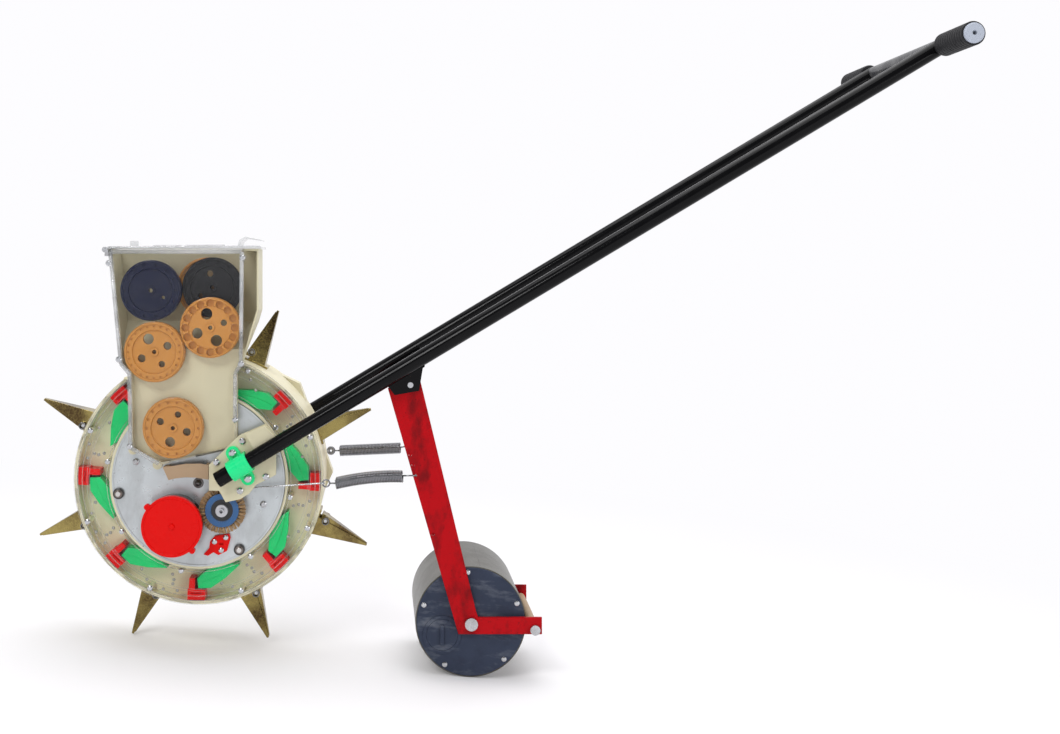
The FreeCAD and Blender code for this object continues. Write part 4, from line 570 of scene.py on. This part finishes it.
# close-wound press springs with an eye at the link wire and a hook through the arm
SPRING_DEPTH = 88
SPRING_WIRE = 1.1
# side, arm hole x and y, height of the eye, bow of the coil, eye radius and eye thickness
SPRINGS = ((1, 307, 9.5, -2, 3.2, 5, 1.1), (-1, 303, 24, 18, 0, 4.2, 2.6))


def fill_press_springs(bm):
    for side, hole_x, hole_y, lift, bow, eye, thickness in SPRINGS:
        z = SPRING_DEPTH * side
        helix(bm, (195, lift, z), (288, hole_y - 2, z), 7.6, 1.12, 43, 18, 8, bow)
        torus(bm, (181, lift, z), eye, thickness)
        hook_z = z + 4 * side
        for start, end in (
                ((185.6, lift, z), (195, lift, z)),
                ((195, lift, z), (195.5, lift + 7.4, z)),
                ((288, hole_y - 9.4, z), (288.4, hole_y - 1, z)),
                ((288, hole_y - 1, z), (hole_x - 5, hole_y, hook_z)),
                ((hole_x - 5, hole_y, hook_z), (hole_x, hole_y, hook_z)),
                ((hole_x, hole_y, z + 4.6 * side), (hole_x, hole_y, z - 4 * side))):
            rod(bm, at(*start), at(*end), SPRING_WIRE * MM)


coils = piece("press_spring_coils", fill_press_springs, NODE_SLOT["press_springs"], None,
              look="spring_wire")
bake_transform(coils)
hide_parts("press_springs")

# the weld seam along the press wheel
WHEEL = SIDE.transposed() @ (Vector(JOINTS["press_wheel_spin"]["pos_m"]) - DRUM_AXIS) / MM
SEAM_X, SEAM_Y = polar(77.4, 79)


def fill_seam(bm):
    """A rippled weld bead along the skin, tapered to a point at both ends."""
    steps, sides, half = 156, 10, 78.5
    rings = []
    for step in range(steps + 1):
        share = step / steps
        taper = min(1.0, 14 * share, 14 * (1 - share))
        bead = max(0.12, 0.85 * taper + 0.12 * math.sin(step * math.pi / 2) * taper)
        ring = []
        for side in range(sides):
            dx, dy = polar(bead, 360 * side / sides)
            ring.append(bm.verts.new(at(WHEEL.x + SEAM_X + dx, WHEEL.y + SEAM_Y + dy * 0.8,
                                        -half + 2 * half * share)))
        rings.append(ring)
    for low, high in zip(rings, rings[1:]):
        join_rings(bm, low, high)
    bm.faces.new(rings[0])
    bm.faces.new(rings[-1])


piece("wheel_seam", fill_seam, "dark_steel", JOINTS["press_wheel_spin"]["child"])


# the bolt at the middle of the side plate, on its washer
def fill_axis_bolt(bm):
    dome(bm, 0, -4, PLATE_FACE, 7.6, 1.0, 24)
    dome(bm, 0, -4, PLATE_FACE + 0.9, 5.2, 3.4, 6)
    dome(bm, 0, -4, PLATE_FACE + 3.4, 3.0, 2.2, 16)


piece("axis_bolt", fill_axis_bolt, "dark_steel", "frame", smooth=False)

# the screw high on the hopper's back wall
piece("hopper_back_screw", lambda bm: dome(bm, -4.3, 309, 27.5, 4.6, 2.6, 14), "plain_steel",
      "frame")

# ---------------------------------------------------------------- floor, light, camera
# The floor takes shadows near the machine and glows as white as the sky further out.
CLOTH = (0.985, 0.98, 1.0, 1)
NEAR_FLOOR, FAR_FLOOR = 0.5, 1.7
floor_mesh = bpy.data.meshes.new("floor")
bm = bmesh.new()
bmesh.ops.create_grid(bm, x_segments=1, y_segments=1, size=14)
bm.to_mesh(floor_mesh)
bm.free()
floor = bpy.data.objects.new("floor", floor_mesh)
floor.location = (0, 0, -0.0005)
bpy.context.scene.collection.objects.link(floor)
floor_paint = Paint("floor_paint")
floor_tone = floor_paint.mix(floor_paint.noise(2, 2), (0.76, 0.755, 0.77), (0.78, 0.775, 0.79))
span = floor_paint.add("ShaderNodeVectorMath", operation="LENGTH")
floor_paint.link(floor_paint.coords, span.inputs[0])
outward = floor_paint.ramp(span.outputs["Value"], NEAR_FLOOR, FAR_FLOOR)
floor_tone = floor_paint.mix(outward, floor_tone, (0, 0, 0))
floor_paint.finish(floor_tone, 0.8, floor_paint.bump(floor_paint.noise(200, 2), 0.02, 0.0005))
floor_paint.link(floor_paint.ramp(span.outputs["Value"], NEAR_FLOOR, FAR_FLOOR, 0.12, 1.0),
                 floor_paint.shader.inputs["Emission Strength"])
floor_paint.shader.inputs["Specular IOR Level"].default_value = 0.0
floor_paint.shader.inputs["Emission Color"].default_value = CLOTH
floor_mesh.materials.append(floor_paint.material)

# A sky of studio cloth: white beyond the machine and low down, dimmer behind the viewer
world = bpy.data.worlds.new("studio")
world.use_nodes = True
tree = world.node_tree
way = tree.nodes.new("ShaderNodeSeparateXYZ")
tree.links.new(tree.nodes.new("ShaderNodeTexCoord").outputs["Generated"], way.inputs[0])
fade = tree.nodes.new("ShaderNodeMapRange")
fade.interpolation_type = "SMOOTHSTEP"
for field, number in (("From Min", -0.35), ("From Max", 0.25), ("To Min", 0.16), ("To Max", 1.0)):
    fade.inputs[field].default_value = number
tree.links.new(way.outputs["Y"], fade.inputs["Value"])
low = tree.nodes.new("ShaderNodeMapRange")
for field, number in (("From Min", 0.10), ("From Max", 0.22), ("To Min", 1.0), ("To Max", 0.0)):
    low.inputs[field].default_value = number
tree.links.new(way.outputs["Z"], low.inputs["Value"])
brighter = tree.nodes.new("ShaderNodeMath")
brighter.operation = "MAXIMUM"
tree.links.new(fade.outputs["Result"], brighter.inputs[0])
tree.links.new(low.outputs["Result"], brighter.inputs[1])
tree.links.new(brighter.outputs[0], tree.nodes["Background"].inputs["Strength"])
tree.nodes["Background"].inputs["Color"].default_value = CLOTH
bpy.context.scene.world = world


def softbox(name, place, target, size, power, tint=(1, 1, 1)):
    lamp = bpy.data.lights.new(name, "AREA")
    lamp.shape = "RECTANGLE"
    lamp.size, lamp.size_y = size
    lamp.energy = power
    lamp.color = tint
    thing = bpy.data.objects.new(name, lamp)
    thing.location = place
    aim = Vector(target) - Vector(place)
    thing.rotation_euler = aim.to_track_quat("-Z", "Y").to_euler()
    bpy.context.scene.collection.objects.link(thing)


softbox("key_light", (-1.6, -2.6, 2.6), (-0.2, 0, 0.35), (1.3, 1.0), 50)
softbox("fill_light", (2.4, -1.9, 1.2), (-0.1, 0, 0.35), (1.2, 1.2), 16)
softbox("top_light", (0.1, 0.2, 3.4), (0, 0.1, 0), (3.0, 3.0), 70)

# The camera looks square on at the near side, level with the tubes' middle, and the
# frame is shifted so that its axis can stay at right angles to the drum.
EYE = (253.7, 289.6, 1768.0)
camera_data = bpy.data.cameras.new("camera")
camera_data.sensor_width = 36
camera_data.lens = 40.755
camera_data.shift_x = 0.1434
camera_data.shift_y = -0.0868
camera = bpy.data.objects.new("camera", camera_data)
camera.matrix_world = Matrix.Translation(at(*EYE)) @ SIDE.to_4x4()
bpy.context.scene.collection.objects.link(camera)
bpy.context.scene.camera = camera
bpy.context.scene.view_settings.view_transform = "Standard"
